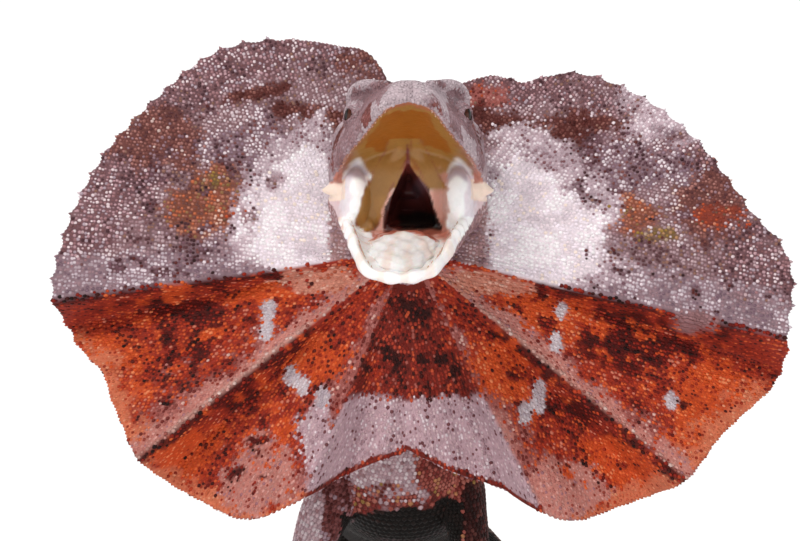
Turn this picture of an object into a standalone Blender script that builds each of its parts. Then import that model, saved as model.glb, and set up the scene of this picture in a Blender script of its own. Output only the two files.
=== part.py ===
"""Frilled lizard in its threat display, life size: the solids of the whole animal.

The animal stands on the floor, z = 0, and faces -Y, with its mouth wide open and its frill spread.
Lengths are millimetres, and add_solid turns them into metres. Left and right are the animal's own,
so its left side is +X. Each sub-part is one closed solid that meets its neighbours face to face.
"""

import math

import bmesh
import bpy
import numpy as np

MM = 0.001
GAP = 0.3

# Head: the corner of the mouth, then the palate pitched up and the lower jaw pitched down from it
MOUTH_CORNER = np.array((0.0, -8.0, 153.5))
PALATE_PITCH = math.radians(23.0)
JAW_PITCH = math.radians(-31.5)
HEAD_RINGS = 17
JAW_RINGS = 15

# Along the palate, half width, height over the palate, depth of its vault, lift of the whole ring
HEAD = (
    (-16.0, 12.0, 15.0, 0.0, 4.0),
    (-12.5, 18.5, 22.5, 0.0, 1.6),
    (-6.0, 23.2, 26.3, 0.0, 0.0),
    (0.0, 24.2, 26.6, 2.5, 0.0),
    (12.0, 23.2, 26.4, 5.0, 0.0),
    (24.0, 20.4, 24.2, 6.0, 0.0),
    (36.0, 15.5, 18.4, 5.5, 0.0),
    (46.0, 11.8, 13.2, 4.2, 0.0),
    (53.0, 9.0, 9.8, 2.8, 0.2),
    (57.0, 6.2, 6.8, 1.4, 0.8),
    (58.6, 2.6, 3.6, 0.4, 2.0),
)
# Right half of a section from lip to crown: share of the half width, share of the height
TEMPLE = ((1.0, 0.0), (1.03, 0.16), (1.0, 0.36), (0.95, 0.57), (0.82, 0.79), (0.56, 0.94), (0.28, 0.99))
ORBIT = ((1.0, 0.0), (1.02, 0.14), (0.96, 0.32), (0.86, 0.50), (0.84, 0.76), (0.70, 0.94), (0.36, 0.99))
MUZZLE = ((1.0, 0.0), (1.03, 0.17), (0.93, 0.40), (0.80, 0.63), (0.62, 0.85), (0.42, 0.96), (0.2, 1.0))
TEMPLE_END, ORBIT_AT, MUZZLE_START = 6.0, 24.0, 42.0
LIP_WIDTH = 2.6
LIP_DROP = 0.9

# Along the jaw, half width, depth below the rim, depth of the trough inside it
JAW = (
    (-12.0, 16.0, 9.0, 0.3),
    (-9.0, 20.5, 12.0, 0.6),
    (-3.0, 23.6, 14.5, 1.5),
    (2.0, 23.9, 15.0, 3.2),
    (8.0, 21.6, 14.5, 4.5),
    (17.0, 19.6, 12.8, 5.5),
    (30.0, 16.2, 9.2, 5.4),
    (40.0, 13.8, 6.6, 4.0),
    (47.0, 11.6, 4.8, 2.6),
    (51.5, 8.4, 3.6, 1.5),
    (54.0, 3.6, 2.2, 0.5),
)
# The open jaw swings a little to the right
JAW_YAW = math.radians(-3.0)
JAW_SEAT = 0.8
JAW_OUTER = ((1.0, 0.0), (1.05, -0.22), (1.0, -0.5), (0.84, -0.78), (0.56, -0.95), (0.27, -1.0))
JAW_INNER = ((0.33, 0.98), (0.64, 0.78), (0.8, 0.35))

# Mouth lining and throat: the plug behind the open mouth and the hollow that runs into it
LINING_CENTRE = np.array((0.0, -10.5, 153.5))
LINING_RADII = (23.0, 12.0, 19.0)
THROAT = (
    (-44.0, 13.0, 141.0, 176.0),
    (-26.0, 12.0, 139.5, 165.5),
    (-14.0, 9.0, 142.0, 160.0),
    (0.0, 5.0, 146.0, 156.0),
)
# Right half of the hollow's section, from its apex: share of the half width, share of the height
THROAT_SECTION = ((0.12, 1.0), (0.45, 0.65), (0.85, 0.25), (1.0, 0.08), (0.8, 0.0))
TONGUE = (
    (22.0, 5.0, 1.2),
    (24.0, 8.5, 2.6),
    (30.0, 9.2, 3.2),
    (38.0, 7.4, 2.6),
    (44.0, 4.6, 1.6),
    (46.0, 1.6, 0.6),
)
TONGUE_SINK = 1.2

# Eyes: set in sockets under the brow, looking out and a little forward
EYE_RADIUS = 5.0
EYE_CENTRE = np.array((14.6, -28.0, 174.3))
EYE_OUT = np.array((0.90, -0.40, 0.17))
EYE_SIDES, EYE_RINGS = 16, 9
LID_RADIUS, LID_WIDTH = 4.4, 1.3
LID_SEAT = 2.7
LID_TURNS, LID_SIDES = 14, 6

# Brow and canthus ridge in the head's own directions: sideways, along, height, thickness
BROW = (
    (6.4, 48.0, 11.6, 0.9, 0.9),
    (9.4, 40.0, 15.8, 1.5, 1.4),
    (13.2, 32.0, 19.8, 2.1, 1.8),
    (15.6, 24.0, 22.0, 2.5, 2.2),
    (16.4, 14.0, 22.6, 2.5, 2.2),
    (15.6, 4.0, 21.4, 1.4, 1.4),
)
NOSTRIL = (5.6, 50.5, 8.2)
NOSTRIL_RADIUS, NOSTRIL_DEPTH = 1.0, 2.4

# Teeth: small cones inside the lips, their places along each jaw and the length of one
UPPER_TEETH = (16.0, 54.0, 11)
LOWER_TEETH = (16.0, 50.0, 10)
TOOTH_LENGTH, FRONT_TOOTH_LENGTH = 1.5, 2.6
TOOTH_RADIUS = 0.75
TOOTH_SIDES = 4
TOOTH_ROOT = 1.0

# Spine from the nape to the tip of the tail: x, y, z, half width, half depth
FLAT = 0.25
SPINE = (
    (0.0, -4.0, 152.0, 17.0, 16.0),
    (0.0, 14.0, 129.0, 15.5, 15.5),
    (-1.0, 29.0, 106.0, 17.0, 18.0),
    (-2.0, 43.0, 83.0, 21.5, 21.0),
    (-2.0, 64.0, 63.0, 24.0, 24.0),
    (-2.0, 92.0, 57.0, 27.5, 22.0),
    (-1.0, 122.0, 50.0, 28.0, 21.0),
    (0.0, 148.0, 43.0, 23.5, 18.5),
    (0.0, 170.0, 38.5, 19.5, 16.5),
    (0.0, 192.0, 32.0, 14.5, 13.5),
    (1.0, 226.0, 21.5, 11.0, 10.6),
    (4.0, 262.0, 12.4, 9.2, 9.2),
    (9.0, 300.0, 8.2 - FLAT, 8.2, 8.2),
    (14.0, 350.0, 7.0 - FLAT, 7.0, 7.0),
    (12.0, 410.0, 5.7 - FLAT, 5.7, 5.7),
    (0.0, 470.0, 4.6 - FLAT, 4.6, 4.6),
    (-15.0, 530.0, 3.6 - FLAT, 3.6, 3.6),
    (-20.0, 585.0, 2.7 - FLAT, 2.7, 2.7),
    (-12.0, 635.0, 1.9 - FLAT, 1.9, 1.9),
    (2.0, 680.0, 1.0 - 0.5 * FLAT, 1.0, 1.0),
)
BODY_POWER = 2.2
# Sub-part: first and last station of the spine, rings along it, sides round it
TRUNK_PARTS = {
    "neck": (0.0, 2.5, 9, 20),
    "shoulders": (2.5, 4.5, 8, 20),
    "trunk": (4.5, 6.5, 8, 20),
    "hips": (6.5, 9.0, 8, 20),
    "tail_1": (9.0, 11.0, 7, 14),
    "tail_2": (11.0, 13.0, 7, 12),
    "tail_3": (13.0, 15.0, 8, 10),
    "tail_4": (15.0, 17.0, 8, 8),
    "tail_5": (17.0, 19.0, 8, 8),
}

# Limbs: x, y, z and thickness across and along at each station, and the station where it is parted
FORELIMBS = {
    "right": (
        (-9.0, 50.0, 70.0, 9.5, 9.5),
        (-19.0, 51.0, 63.0, 9.3, 9.3),
        (-27.5, 53.0, 48.0, 8.2, 8.4),
        (-33.0, 55.0, 33.0, 6.4, 6.6),
        (-35.5, 46.0, 20.0, 6.2, 5.8),
        (-37.0, 36.0, 8.6, 4.3, 3.8),
    ),
    "left": (
        (8.0, 50.0, 69.0, 8.6, 8.6),
        (16.0, 51.0, 61.0, 8.2, 8.4),
        (19.5, 54.0, 47.0, 6.6, 7.2),
        (21.5, 57.0, 32.0, 5.8, 6.2),
        (22.0, 47.0, 19.0, 5.8, 5.4),
        (22.5, 37.0, 8.6, 4.2, 3.7),
    ),
}
HIND_LIMB = (
    (6.0, 170.0, 36.0, 12.0, 11.0),
    (18.0, 167.0, 32.0, 12.0, 11.0),
    (33.0, 161.0, 21.0, 9.6, 9.0),
    (46.0, 152.0, 16.5, 7.6, 7.2),
    (48.0, 171.0, 13.0, 6.8, 6.4),
    (48.0, 190.0, 8.4, 4.7, 4.2),
)
HIND_LIMBS = {"left": HIND_LIMB, "right": tuple((-x, *rest) for x, *rest in HIND_LIMB)}
LIMB_JOINT, LIMB_END = 3.0, 5.0
LIMB_SIDES = 14

# Hands and feet: heading in degrees from -Y towards the outside, palm size, then each digit
HAND_HEADINGS = {"right": 8.0, "left": 4.0}
FOOT_HEADINGS = {"right": 52.0, "left": 52.0}
HAND = {
    "palm": (11.0, 6.6, 3.6),
    "digits": ((-52.0, 9.0), (-24.0, 14.0), (0.0, 17.0), (24.0, 17.0), (52.0, 11.0)),
    "thickness": 1.75,
    "claw": 4.2,
}
FOOT = {
    "palm": (19.0, 7.4, 4.0),
    "digits": ((-46.0, 10.0), (-20.0, 17.0), (-3.0, 25.0), (14.0, 33.0), (48.0, 19.0)),
    "thickness": 1.95,
    "claw": 4.6,
}
DIGIT_SIDES, DIGIT_RINGS = 5, 8
# Along a toe and along its claw: share of the length, lift (of the toe's thickness, or in mm), girth
TOE_SHAPE = ((0.0, 3.4, 1.0), (0.3, 2.6, 1.0), (0.55, 1.5, 0.84), (0.8, 1.0, 0.8), (1.0, 0.95, 0.62))
CLAW_SHAPE = ((0.25, 1.6, 0.42), (0.7, 1.25, 0.26), (1.0, 0.45, 0.1))

# Frill: a fan of membrane about the hyoid, held by two bony rods on each side
FAN_CENTRE = np.array((0.0, -2.0, 134.3))
FAN_ROOT = 9.0
MEMBRANE = 0.65
# Reach of the membrane at each angle from straight up, in degrees
FRILL_REACH = {
    "right": (
        (7.0, 56.5), (10.0, 63.2), (19.0, 70.4), (30.0, 79.3), (43.0, 89.3), (50.0, 92.0), (60.0, 95.5),
        (75.0, 103.3), (87.0, 108.8), (97.5, 113.2), (106.0, 109.5), (112.5, 104.5), (116.0, 105.5),
        (121.0, 106.0), (127.5, 107.8), (140.0, 103.5), (150.0, 98.0), (156.0, 87.0), (160.0, 80.0),
        (170.0, 71.0), (180.0, 65.5),
    ),
    "left": (
        (8.0, 52.5), (16.0, 55.6), (26.0, 63.0), (35.0, 66.8), (41.0, 76.3), (52.0, 86.8), (65.0, 96.5),
        (80.0, 107.2), (85.0, 111.8), (88.5, 118.0), (92.0, 121.3), (102.5, 123.2), (107.0, 126.0),
        (110.0, 125.0), (114.0, 121.0), (121.0, 115.5), (129.5, 114.0), (140.0, 106.0), (150.0, 98.2),
        (158.0, 82.0), (166.0, 72.3), (174.0, 63.7), (180.0, 65.5),
    ),
}
FIRST_ROD = {"right": 97.5, "left": 102.5}
SECOND_ROD = {"right": 127.6, "left": 129.5}
THIRD_FOLD = {"right": 157.0, "left": 152.5}
FAN_START = {"right": 7.0, "left": 8.0}
# Backward lean of the membrane at each angle, as rise over reach
LEAN = ((0.0, 0.27), (45.0, 0.24), (90.0, 0.13), (130.0, 0.10), (180.0, 0.15))
# Depth of a pleat at 100 mm of reach, and how far below its ridge it is deepest, in degrees
PLEAT_DEPTH = 7.5
PLEAT_DROP = 7.0
PLEAT_GROWS = (12.0, 60.0)
LOBE_VALLEY, LOBE_VALLEY_WIDTH, LOBE_VALLEY_DEPTH = 38.0, 10.0, 0.45
ROD_RAISE = 1.1
ROD_WIDTH = 2.6
# Scales that fray the rim, each two columns wide
RIM_TOOTH = 2.2
COLUMN_STEP = 3.0
FAN_ROWS = (0.0, 0.2, 0.45, 0.7, 0.88, 0.965, 1.0)

COLOURS = {
    "hide": ((0.36, 0.25, 0.26), 0.62),
    "lobe": ((0.42, 0.29, 0.31), 0.62),
    "pleat": ((0.52, 0.10, 0.04), 0.6),
    "throat": ((0.30, 0.10, 0.09), 0.6),
    "lining": ((0.62, 0.30, 0.20), 0.35),
    "jaw": ((0.78, 0.66, 0.64), 0.4),
    "tongue": ((0.70, 0.34, 0.29), 0.35),
    "eye": ((0.05, 0.02, 0.015), 0.08),
    "belly": ((0.20, 0.12, 0.11), 0.65),
}


def unit(vector):
    return np.asarray(vector, float) / np.linalg.norm(vector)


def smooth_rows(table, at):
    """Rows of a table, keyed by its first column, read at the places `at` along smooth curves."""
    table = np.asarray(table, float)
    keys, values = table[:, 0], table[:, 1:]
    slopes = np.gradient(values, keys, axis=0)
    at = np.clip(np.atleast_1d(np.asarray(at, float)), keys[0], keys[-1])
    low = np.clip(np.searchsorted(keys, at) - 1, 0, len(keys) - 2)
    span = (keys[low + 1] - keys[low])[:, None]
    u = (at - keys[low])[:, None] / span
    start = (2 * u**3 - 3 * u**2 + 1) * values[low] + (u**3 - 2 * u**2 + u) * span * slopes[low]
    end = (3 * u**2 - 2 * u**3) * values[low + 1] + (u**3 - u**2) * span * slopes[low + 1]
    return start + end


def material(name):
    """The finish of one kind of surface, made once."""
    if name in bpy.data.materials:
        return bpy.data.materials[name]
    colour, roughness = COLOURS[name]
    made = bpy.data.materials.new(name)
    made.use_nodes = True
    shader = made.node_tree.nodes["Principled BSDF"]
    shader.inputs["Base Color"].default_value = (*colour, 1.0)
    shader.inputs["Roughness"].default_value = roughness
    made.diffuse_color = (*colour, 1.0)
    return made


def add_solid(name, points, faces, finish):
    """A named object from points in millimetres, with its faces turned outwards."""
    mesh = bpy.data.meshes.new(name)
    mesh.from_pydata((np.asarray(points) * MM).tolist(), [], faces)
    shape = bmesh.new()
    shape.from_mesh(mesh)
    bmesh.ops.triangulate(shape, faces=shape.faces)
    bmesh.ops.recalc_face_normals(shape, faces=shape.faces)
    shape.to_mesh(mesh)
    shape.free()
    mesh.shade_smooth()
    mesh.materials.append(material(finish))
    made = bpy.data.objects.new(name, mesh)
    bpy.context.collection.objects.link(made)
    return made


def loft(rings):
    """Points and faces of a closed body through rings of equal count, with a fan over each end."""
    rings = np.asarray(rings, float)
    count, sides = rings.shape[:2]
    points = list(rings.reshape(-1, 3)) + [rings[0].mean(axis=0), rings[-1].mean(axis=0)]
    first_cap, last_cap = count * sides, count * sides + 1
    faces = []
    for i in range(sides):
        j = (i + 1) % sides
        for row in range(count - 1):
            low, high = row * sides, (row + 1) * sides
            faces.append((low + i, low + j, high + j, high + i))
        faces.append((i, first_cap, j))
        faces.append(((count - 1) * sides + j, last_cap, (count - 1) * sides + i))
    return points, faces


def oval(sides, power=2.0):
    """Unit ring, as (sideways, upwards) pairs, squarer as the power grows."""
    turns = np.arange(sides) * math.tau / sides
    across, up = np.cos(turns), np.sin(turns)
    squared = 2.0 / power
    return np.stack(
        [np.sign(across) * np.abs(across) ** squared, np.sign(up) * np.abs(up) ** squared], axis=1
    )


def swept_rings(stations, places, sides, across, power=2.0):
    """Rings square to a smooth path: places are lengths along it, and across is kept level."""
    stations = np.asarray(stations, float)
    steps = np.linalg.norm(np.diff(stations[:, :3], axis=0), axis=1)
    table = np.column_stack([np.concatenate([[0.0], np.cumsum(steps)]), stations])
    here = smooth_rows(table, places)
    tangents = smooth_rows(table, np.asarray(places) + 0.5) - smooth_rows(table, np.asarray(places) - 0.5)
    shape = oval(sides, power)
    rings = []
    for row, tangent in zip(here, tangents[:, :3]):
        along = unit(tangent)
        side = unit(across - along * np.dot(across, along))
        up = np.cross(side, along)
        rings.append(row[:3] + shape[:, :1] * side * row[3] + shape[:, 1:] * up * row[4])
        across = side
    return rings


def path_length(stations, at):
    """Length along a path up to station number `at`, which may fall between two."""
    stations = np.asarray(stations, float)[:, :3]
    steps = np.linalg.norm(np.diff(stations, axis=0), axis=1)
    return float(np.interp(at, np.arange(len(stations)), np.concatenate([[0.0], np.cumsum(steps)])))


def swap_mesh(target):
    """Keeps what the object's modifiers make of it."""
    graph = bpy.context.evaluated_depsgraph_get()
    made = bpy.data.meshes.new_from_object(target.evaluated_get(graph))
    target.modifiers.clear()
    target.data = made


def keep_largest(target):
    """Drops every closed surface of the object but its largest."""
    shape = bmesh.new()
    shape.from_mesh(target.data)
    left, islands = set(shape.faces), []
    while left:
        start = left.pop()
        island, edge_of = {start}, [start]
        while edge_of:
            for edge in edge_of.pop().edges:
                for face in edge.link_faces:
                    if face in left and len(edge.link_faces) == 2:
                        left.discard(face)
                        island.add(face)
                        edge_of.append(face)
        islands.append(island)
    islands.sort(key=lambda island: sum(face.calc_area() for face in island))
    scraps = [face for island in islands[:-1] for face in island]
    bmesh.ops.delete(shape, geom=scraps, context="FACES")
    bmesh.ops.delete(shape, geom=[v for v in shape.verts if not v.link_faces], context="VERTS")
    shape.to_mesh(target.data)
    shape.free()


def hidden(helper):
    """Marks a helper as one that only cuts."""
    helper.hide_render = True
    helper.display_type = "WIRE"
    return helper


def room_of(source, by=GAP * 1.1):
    """A copy of a plain body grown by the gap, to cut its neighbours with."""
    made = hidden(bpy.data.objects.new(source.name + "_room", source.data.copy()))
    bpy.context.collection.objects.link(made)
    shape = bmesh.new()
    shape.from_mesh(made.data)
    shape.normal_update()
    moves = [vertex.normal * (by * MM * min(vertex.calc_shell_factor(), 3.0)) for vertex in shape.verts]
    for vertex, move in zip(shape.verts, moves):
        vertex.co += move
    shape.to_mesh(made.data)
    shape.free()
    return made


def cut_with(target, cutter):
    """Takes one closed shape out of another."""
    boolean = target.modifiers.new("cut", "BOOLEAN")
    boolean.operation = "DIFFERENCE"
    boolean.solver = "EXACT"
    boolean.use_self = True
    boolean.object = cutter
    bpy.context.view_layer.update()
    swap_mesh(target)


def clear_of(target, *rooms):
    """Cuts the room of each neighbour out of the target."""
    for room in rooms:
        cut_with(target, room)
    keep_largest(target)


def fuse(target, pieces):
    """Joins closed pieces to the target with one union and drops them."""
    group = bpy.data.collections.new(target.name + "_pieces")
    for piece in pieces:
        group.objects.link(piece)
    boolean = target.modifiers.new("join", "BOOLEAN")
    boolean.operation = "UNION"
    boolean.solver = "EXACT"
    boolean.operand_type = "COLLECTION"
    boolean.collection = group
    bpy.context.view_layer.update()
    swap_mesh(target)
    for piece in pieces:
        bpy.data.objects.remove(piece)
    bpy.data.collections.remove(group)
    keep_largest(target)


def box_points(low, high):
    """Corners and faces of an upright box."""
    corners = [(x, y, z) for x in (low[0], high[0]) for y in (low[1], high[1]) for z in (low[2], high[2])]
    faces = [(0, 1, 3, 2), (4, 6, 7, 5), (0, 4, 5, 1), (2, 3, 7, 6), (0, 2, 6, 4), (1, 5, 7, 3)]
    return corners, faces


def stand_on_floor(target):
    """Cuts the sole flat at floor level."""
    reach = 2000.0
    points, faces = box_points((-reach, -reach, -50.0), (reach, reach, 0.0))
    floor = add_solid("floor_room", points, faces, "belly")
    clear_of(target, floor)
    bpy.data.objects.remove(floor)


def pitched(pitch):
    """Directions along and square to a line pitched from level, facing -Y; the jaw's is turned aside too."""
    yaw = JAW_YAW if pitch == JAW_PITCH else 0.0
    along = np.array((math.sin(yaw), -math.cos(pitch), math.sin(pitch)))
    up = np.array((0.0, math.sin(pitch), math.cos(pitch)))
    return along, up


def mirrored_ring(right_half, left_to_right):
    """A whole ring from its right outer half and its inner points from the left side to the right."""
    left_half = [(-x, h) for x, h in reversed(right_half)]
    return np.array(list(right_half) + left_half + list(left_to_right))


def head_section(along, width, height, vault, lift):
    """One section of the head: outer skin over the crown, then lips and palate."""
    if along < ORBIT_AT:
        share = np.clip((along - TEMPLE_END) / (ORBIT_AT - TEMPLE_END), 0.0, 1.0)
        profile = (1.0 - share) * np.array(TEMPLE) + share * np.array(ORBIT)
    else:
        share = np.clip((along - ORBIT_AT) / (MUZZLE_START - ORBIT_AT), 0.0, 1.0)
        profile = (1.0 - share) * np.array(ORBIT) + share * np.array(MUZZLE)
    outer = [(x * width, h * height + lift) for x, h in profile]
    lip = min(LIP_WIDTH, 0.45 * width)
    drop = LIP_DROP * np.clip((along + 4.0) / 8.0, 0.0, 1.0)
    inner_half = [
        (width - 0.5 * lip, lift - drop),
        (width - lip, lift + 0.12 * vault),
        (0.62 * (width - lip), lift + 0.72 * vault),
        (0.3 * (width - lip), lift + 0.95 * vault),
    ]
    inner = [(-x, h) for x, h in inner_half] + [(0.0, lift + vault)] + list(reversed(inner_half))
    return mirrored_ring(outer, inner)


def jaw_section(width, depth, trough):
    """One section of the lower jaw: outer skin under the chin, then the trough of the mouth."""
    outer = [(x * width, h * depth) for x, h in JAW_OUTER]
    inner_half = [(0.5 * (1.0 + JAW_INNER[-1][0]) * width, 0.35)]
    inner_half += [(x * width, -h * trough) for x, h in reversed(JAW_INNER)]
    inner = [(-x, h) for x, h in inner_half] + [(0.0, -trough)] + list(reversed(inner_half))
    return mirrored_ring(outer, inner)


def along_pitched(pitch, places, sections):
    """Sections set along a pitched line from the corner of the mouth."""
    along, up = pitched(pitch)
    sideways = np.array((1.0, 0.0, 0.0))
    rings = []
    for place, section in zip(places, sections):
        centre = MOUTH_CORNER + along * place
        rings.append(centre + section[:, :1] * sideways + section[:, 1:] * up)
    return rings


def make_head():
    """Skull and upper jaw, with the palate's vault open below."""
    places = np.linspace(HEAD[0][0], HEAD[-1][0], HEAD_RINGS)
    places = np.concatenate([places[:-1], [57.0, HEAD[-1][0]]])
    rows = smooth_rows(HEAD, places)
    sections = [head_section(place, *row) for place, row in zip(places, rows)]
    return add_solid("head", *loft(along_pitched(PALATE_PITCH, places, sections)), "hide")


def head_point(sideways, along, height):
    """A point given in the head's own directions, from the corner of the mouth."""
    forward, up = pitched(PALATE_PITCH)
    return MOUTH_CORNER + forward * along + up * height + np.array((sideways, 0.0, 0.0))


def make_brow(side):
    """The ridge over one eye, run out along the edge of the muzzle."""
    stations = [(*head_point(x * side, along, height), across, up) for x, along, height, across, up in BROW]
    places = np.linspace(0.0, path_length(stations, len(stations) - 1), 9)
    rings = swept_rings(stations, places, 8, np.array((1.0, 0.0, 0.0)))
    return add_solid("brow", *loft(rings), "hide")


def eye_directions(side):
    """Centre of one eyeball, the way it looks, and two directions square to that."""
    out = unit(EYE_OUT * (side, 1.0, 1.0))
    across = unit(np.cross(out, (0.0, 0.0, 1.0)))
    return EYE_CENTRE * (side, 1.0, 1.0), out, across, np.cross(across, out)


def make_lids(side):
    """The ring of both lids round one eye."""
    centre, out, across, up = eye_directions(side)
    points = []
    for turn in np.arange(LID_TURNS) * math.tau / LID_TURNS:
        radial = across * math.cos(turn) + up * math.sin(turn)
        for around in np.arange(LID_SIDES) * math.tau / LID_SIDES:
            reach = LID_RADIUS + LID_WIDTH * math.cos(around)
            points.append(centre + out * (LID_SEAT + LID_WIDTH * math.sin(around)) + radial * reach)
    faces = []
    for i in range(LID_TURNS):
        for j in range(LID_SIDES):
            a, b = i * LID_SIDES + j, i * LID_SIDES + (j + 1) % LID_SIDES
            c = (i + 1) % LID_TURNS * LID_SIDES + (j + 1) % LID_SIDES
            d = (i + 1) % LID_TURNS * LID_SIDES + j
            faces.append((a, b, c, d))
    return add_solid("lids", points, faces, "hide")


def make_spike(root, tip, radius):
    """A cone with a few sides, for a tooth or a tooth-like scale."""
    axis = unit(tip - root)
    across = unit(np.cross(axis, (0.31, 0.87, 0.38)))
    ring = oval(TOOTH_SIDES) * radius
    points = [root + across * x + np.cross(axis, across) * z for x, z in ring] + [root, tip]
    faces = []
    for i in range(TOOTH_SIDES):
        j = (i + 1) % TOOTH_SIDES
        faces += [(i, j, TOOTH_SIDES + 1), (j, i, TOOTH_SIDES)]
    return add_solid("tooth", points, faces, "hide")


def tooth_row(table, pitch, places, inset, seat, way):
    """Cones along both sides of one jaw, the front pair the longest."""
    first, last, count = places
    forward, up = pitched(pitch)
    teeth = []
    for i, along in enumerate(np.linspace(first, last, count)):
        half = smooth_rows(table, along)[0][0] - inset
        length = FRONT_TOOTH_LENGTH if i == count - 2 else TOOTH_LENGTH * (1.0 + 0.2 * math.sin(2.1 * i))
        for side in (1.0, -1.0):
            gum = MOUTH_CORNER + forward * along + up * seat + np.array((half * side, 0.0, 0.0))
            teeth.append(make_spike(gum - up * way * TOOTH_ROOT, gum + up * way * length, TOOTH_RADIUS))
    return teeth


def nostril_room(side):
    """The hollow of one nostril."""
    x, along, height = NOSTRIL
    mouth = head_point((x + NOSTRIL_DEPTH) * side, along + 0.8, height + NOSTRIL_DEPTH * 0.4)
    deep = head_point((x - NOSTRIL_DEPTH * 0.7) * side, along - 0.8, height - NOSTRIL_DEPTH * 0.4)
    wide, narrow = NOSTRIL_RADIUS * 1.2, NOSTRIL_RADIUS * 0.9
    stations = [(*mouth, wide, wide), (*deep, narrow, narrow)]
    length = path_length(stations, 1)
    rings = swept_rings(stations, np.array((0.0, length)), 8, np.array((0.0, 1.0, 0.0)))
    return add_solid("nostril_room", *loft(rings), "hide")


def make_lower_jaw():
    """Lower jaw, a trough that shallows to the chin and bends under the skull behind the corners."""
    places = np.linspace(JAW[0][0], JAW[-1][0], JAW_RINGS)
    sideways = np.array((1.0, 0.0, 0.0))
    along, up = pitched(JAW_PITCH)
    under_skull, from_skull = pitched(PALATE_PITCH)
    rings = []
    for place, row in zip(places, smooth_rows(JAW, places)):
        forward = along if place > 0.0 else under_skull
        centre = MOUTH_CORNER + forward * place - from_skull * JAW_SEAT
        section = jaw_section(*row)
        rings.append(centre + section[:, :1] * sideways + section[:, 1:] * up)
    return add_solid("lower_jaw", *loft(rings), "jaw")


def make_eye(name, side):
    """Eyeball, its poles on the line it looks along."""
    centre, out, across, up = eye_directions(side)
    rings = []
    for turn in np.linspace(0.06 * math.pi, 0.94 * math.pi, EYE_RINGS):
        ring = oval(EYE_SIDES) * EYE_RADIUS * math.sin(turn)
        middle = centre - out * EYE_RADIUS * math.cos(turn)
        rings.append(middle + ring[:, :1] * across + ring[:, 1:] * up)
    return add_solid(name, *loft(rings), "eye")


def make_lining():
    """The flesh behind the open mouth, from cheek to cheek."""
    rings = []
    for turn in np.linspace(0.08 * math.pi, 0.92 * math.pi, 10):
        ring = oval(20, 2.6) * (LINING_RADII[0] * math.sin(turn), LINING_RADII[2] * math.sin(turn))
        middle = LINING_CENTRE + (0.0, -LINING_RADII[1] * math.cos(turn), 0.0)
        level = np.zeros(len(ring))
        rings.append(middle + np.column_stack([ring[:, 0], level, ring[:, 1]]))
    return add_solid("mouth_lining", *loft(rings), "lining")


def throat_room():
    """The hollow of the throat, narrow at the top and wide at the floor of the mouth."""
    rings = []
    for y, half, low, high in THROAT:
        corners = [(across * half, low + rise * (high - low)) for across, rise in THROAT_SECTION]
        rings.append([(x, y, z) for x, z in corners] + [(-x, y, z) for x, z in reversed(corners)])
    return add_solid("throat_room", *loft(rings), "lining")


def make_tongue():
    """The tongue, a low pad that lies on the floor of the jaw."""
    along, up = pitched(JAW_PITCH)
    places = np.linspace(TONGUE[0][0], TONGUE[-1][0], 9)
    troughs = smooth_rows(JAW, places)[:, 2]
    rings = []
    for place, (half, height), trough in zip(places, smooth_rows(TONGUE, places), troughs):
        ring = oval(14) * (half, height + TONGUE_SINK)
        centre = MOUTH_CORNER + along * place - up * trough
        rings.append(centre + ring[:, :1] * np.array((1.0, 0.0, 0.0)) + ring[:, 1:] * up)
    return add_solid("tongue", *loft(rings), "tongue")


def make_trunk_part(name):
    """One length of neck, body or tail, flat at both ends."""
    first, last, rings, sides = TRUNK_PARTS[name]
    start = path_length(SPINE, first) + (GAP / 2 if first > 0 else 0.0)
    end = path_length(SPINE, last) - (GAP / 2 if last < len(SPINE) - 1 else 0.0)
    places = np.linspace(start, end, rings)
    made = swept_rings(SPINE, places, sides, np.array((1.0, 0.0, 0.0)), BODY_POWER)
    finish = "belly" if name == "trunk" else "hide"
    return add_solid(name, *loft(made), finish)


def make_limb(stations, upper_name, lower_name):
    """Both lengths of one limb, parted square to it at the elbow or knee."""
    across = np.array((0.0, 1.0, 0.0))
    joint = path_length(stations, LIMB_JOINT)
    end = path_length(stations, LIMB_END)
    upper = swept_rings(stations, np.linspace(0.0, joint - GAP / 2, 9), LIMB_SIDES, across)
    lower = swept_rings(stations, np.linspace(joint + GAP / 2, end, 8), LIMB_SIDES, across)
    return add_solid(upper_name, *loft(upper), "hide"), add_solid(lower_name, *loft(lower), "hide")


def digit_stations(root, heading, length, thickness, claw):
    """Path of one digit along the floor, with its curved claw."""
    ahead = np.array((math.sin(heading), -math.cos(heading), 0.0))
    rows = []
    for share, lift, girth in TOE_SHAPE:
        place = root + ahead * length * share
        rows.append((place[0], place[1], lift * thickness * 0.8, thickness * girth, thickness * girth))
    for share, height, girth in CLAW_SHAPE:
        place = root + ahead * (length + claw * share)
        rows.append((place[0], place[1], height, thickness * girth, thickness * girth * 1.2))
    return rows


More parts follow.
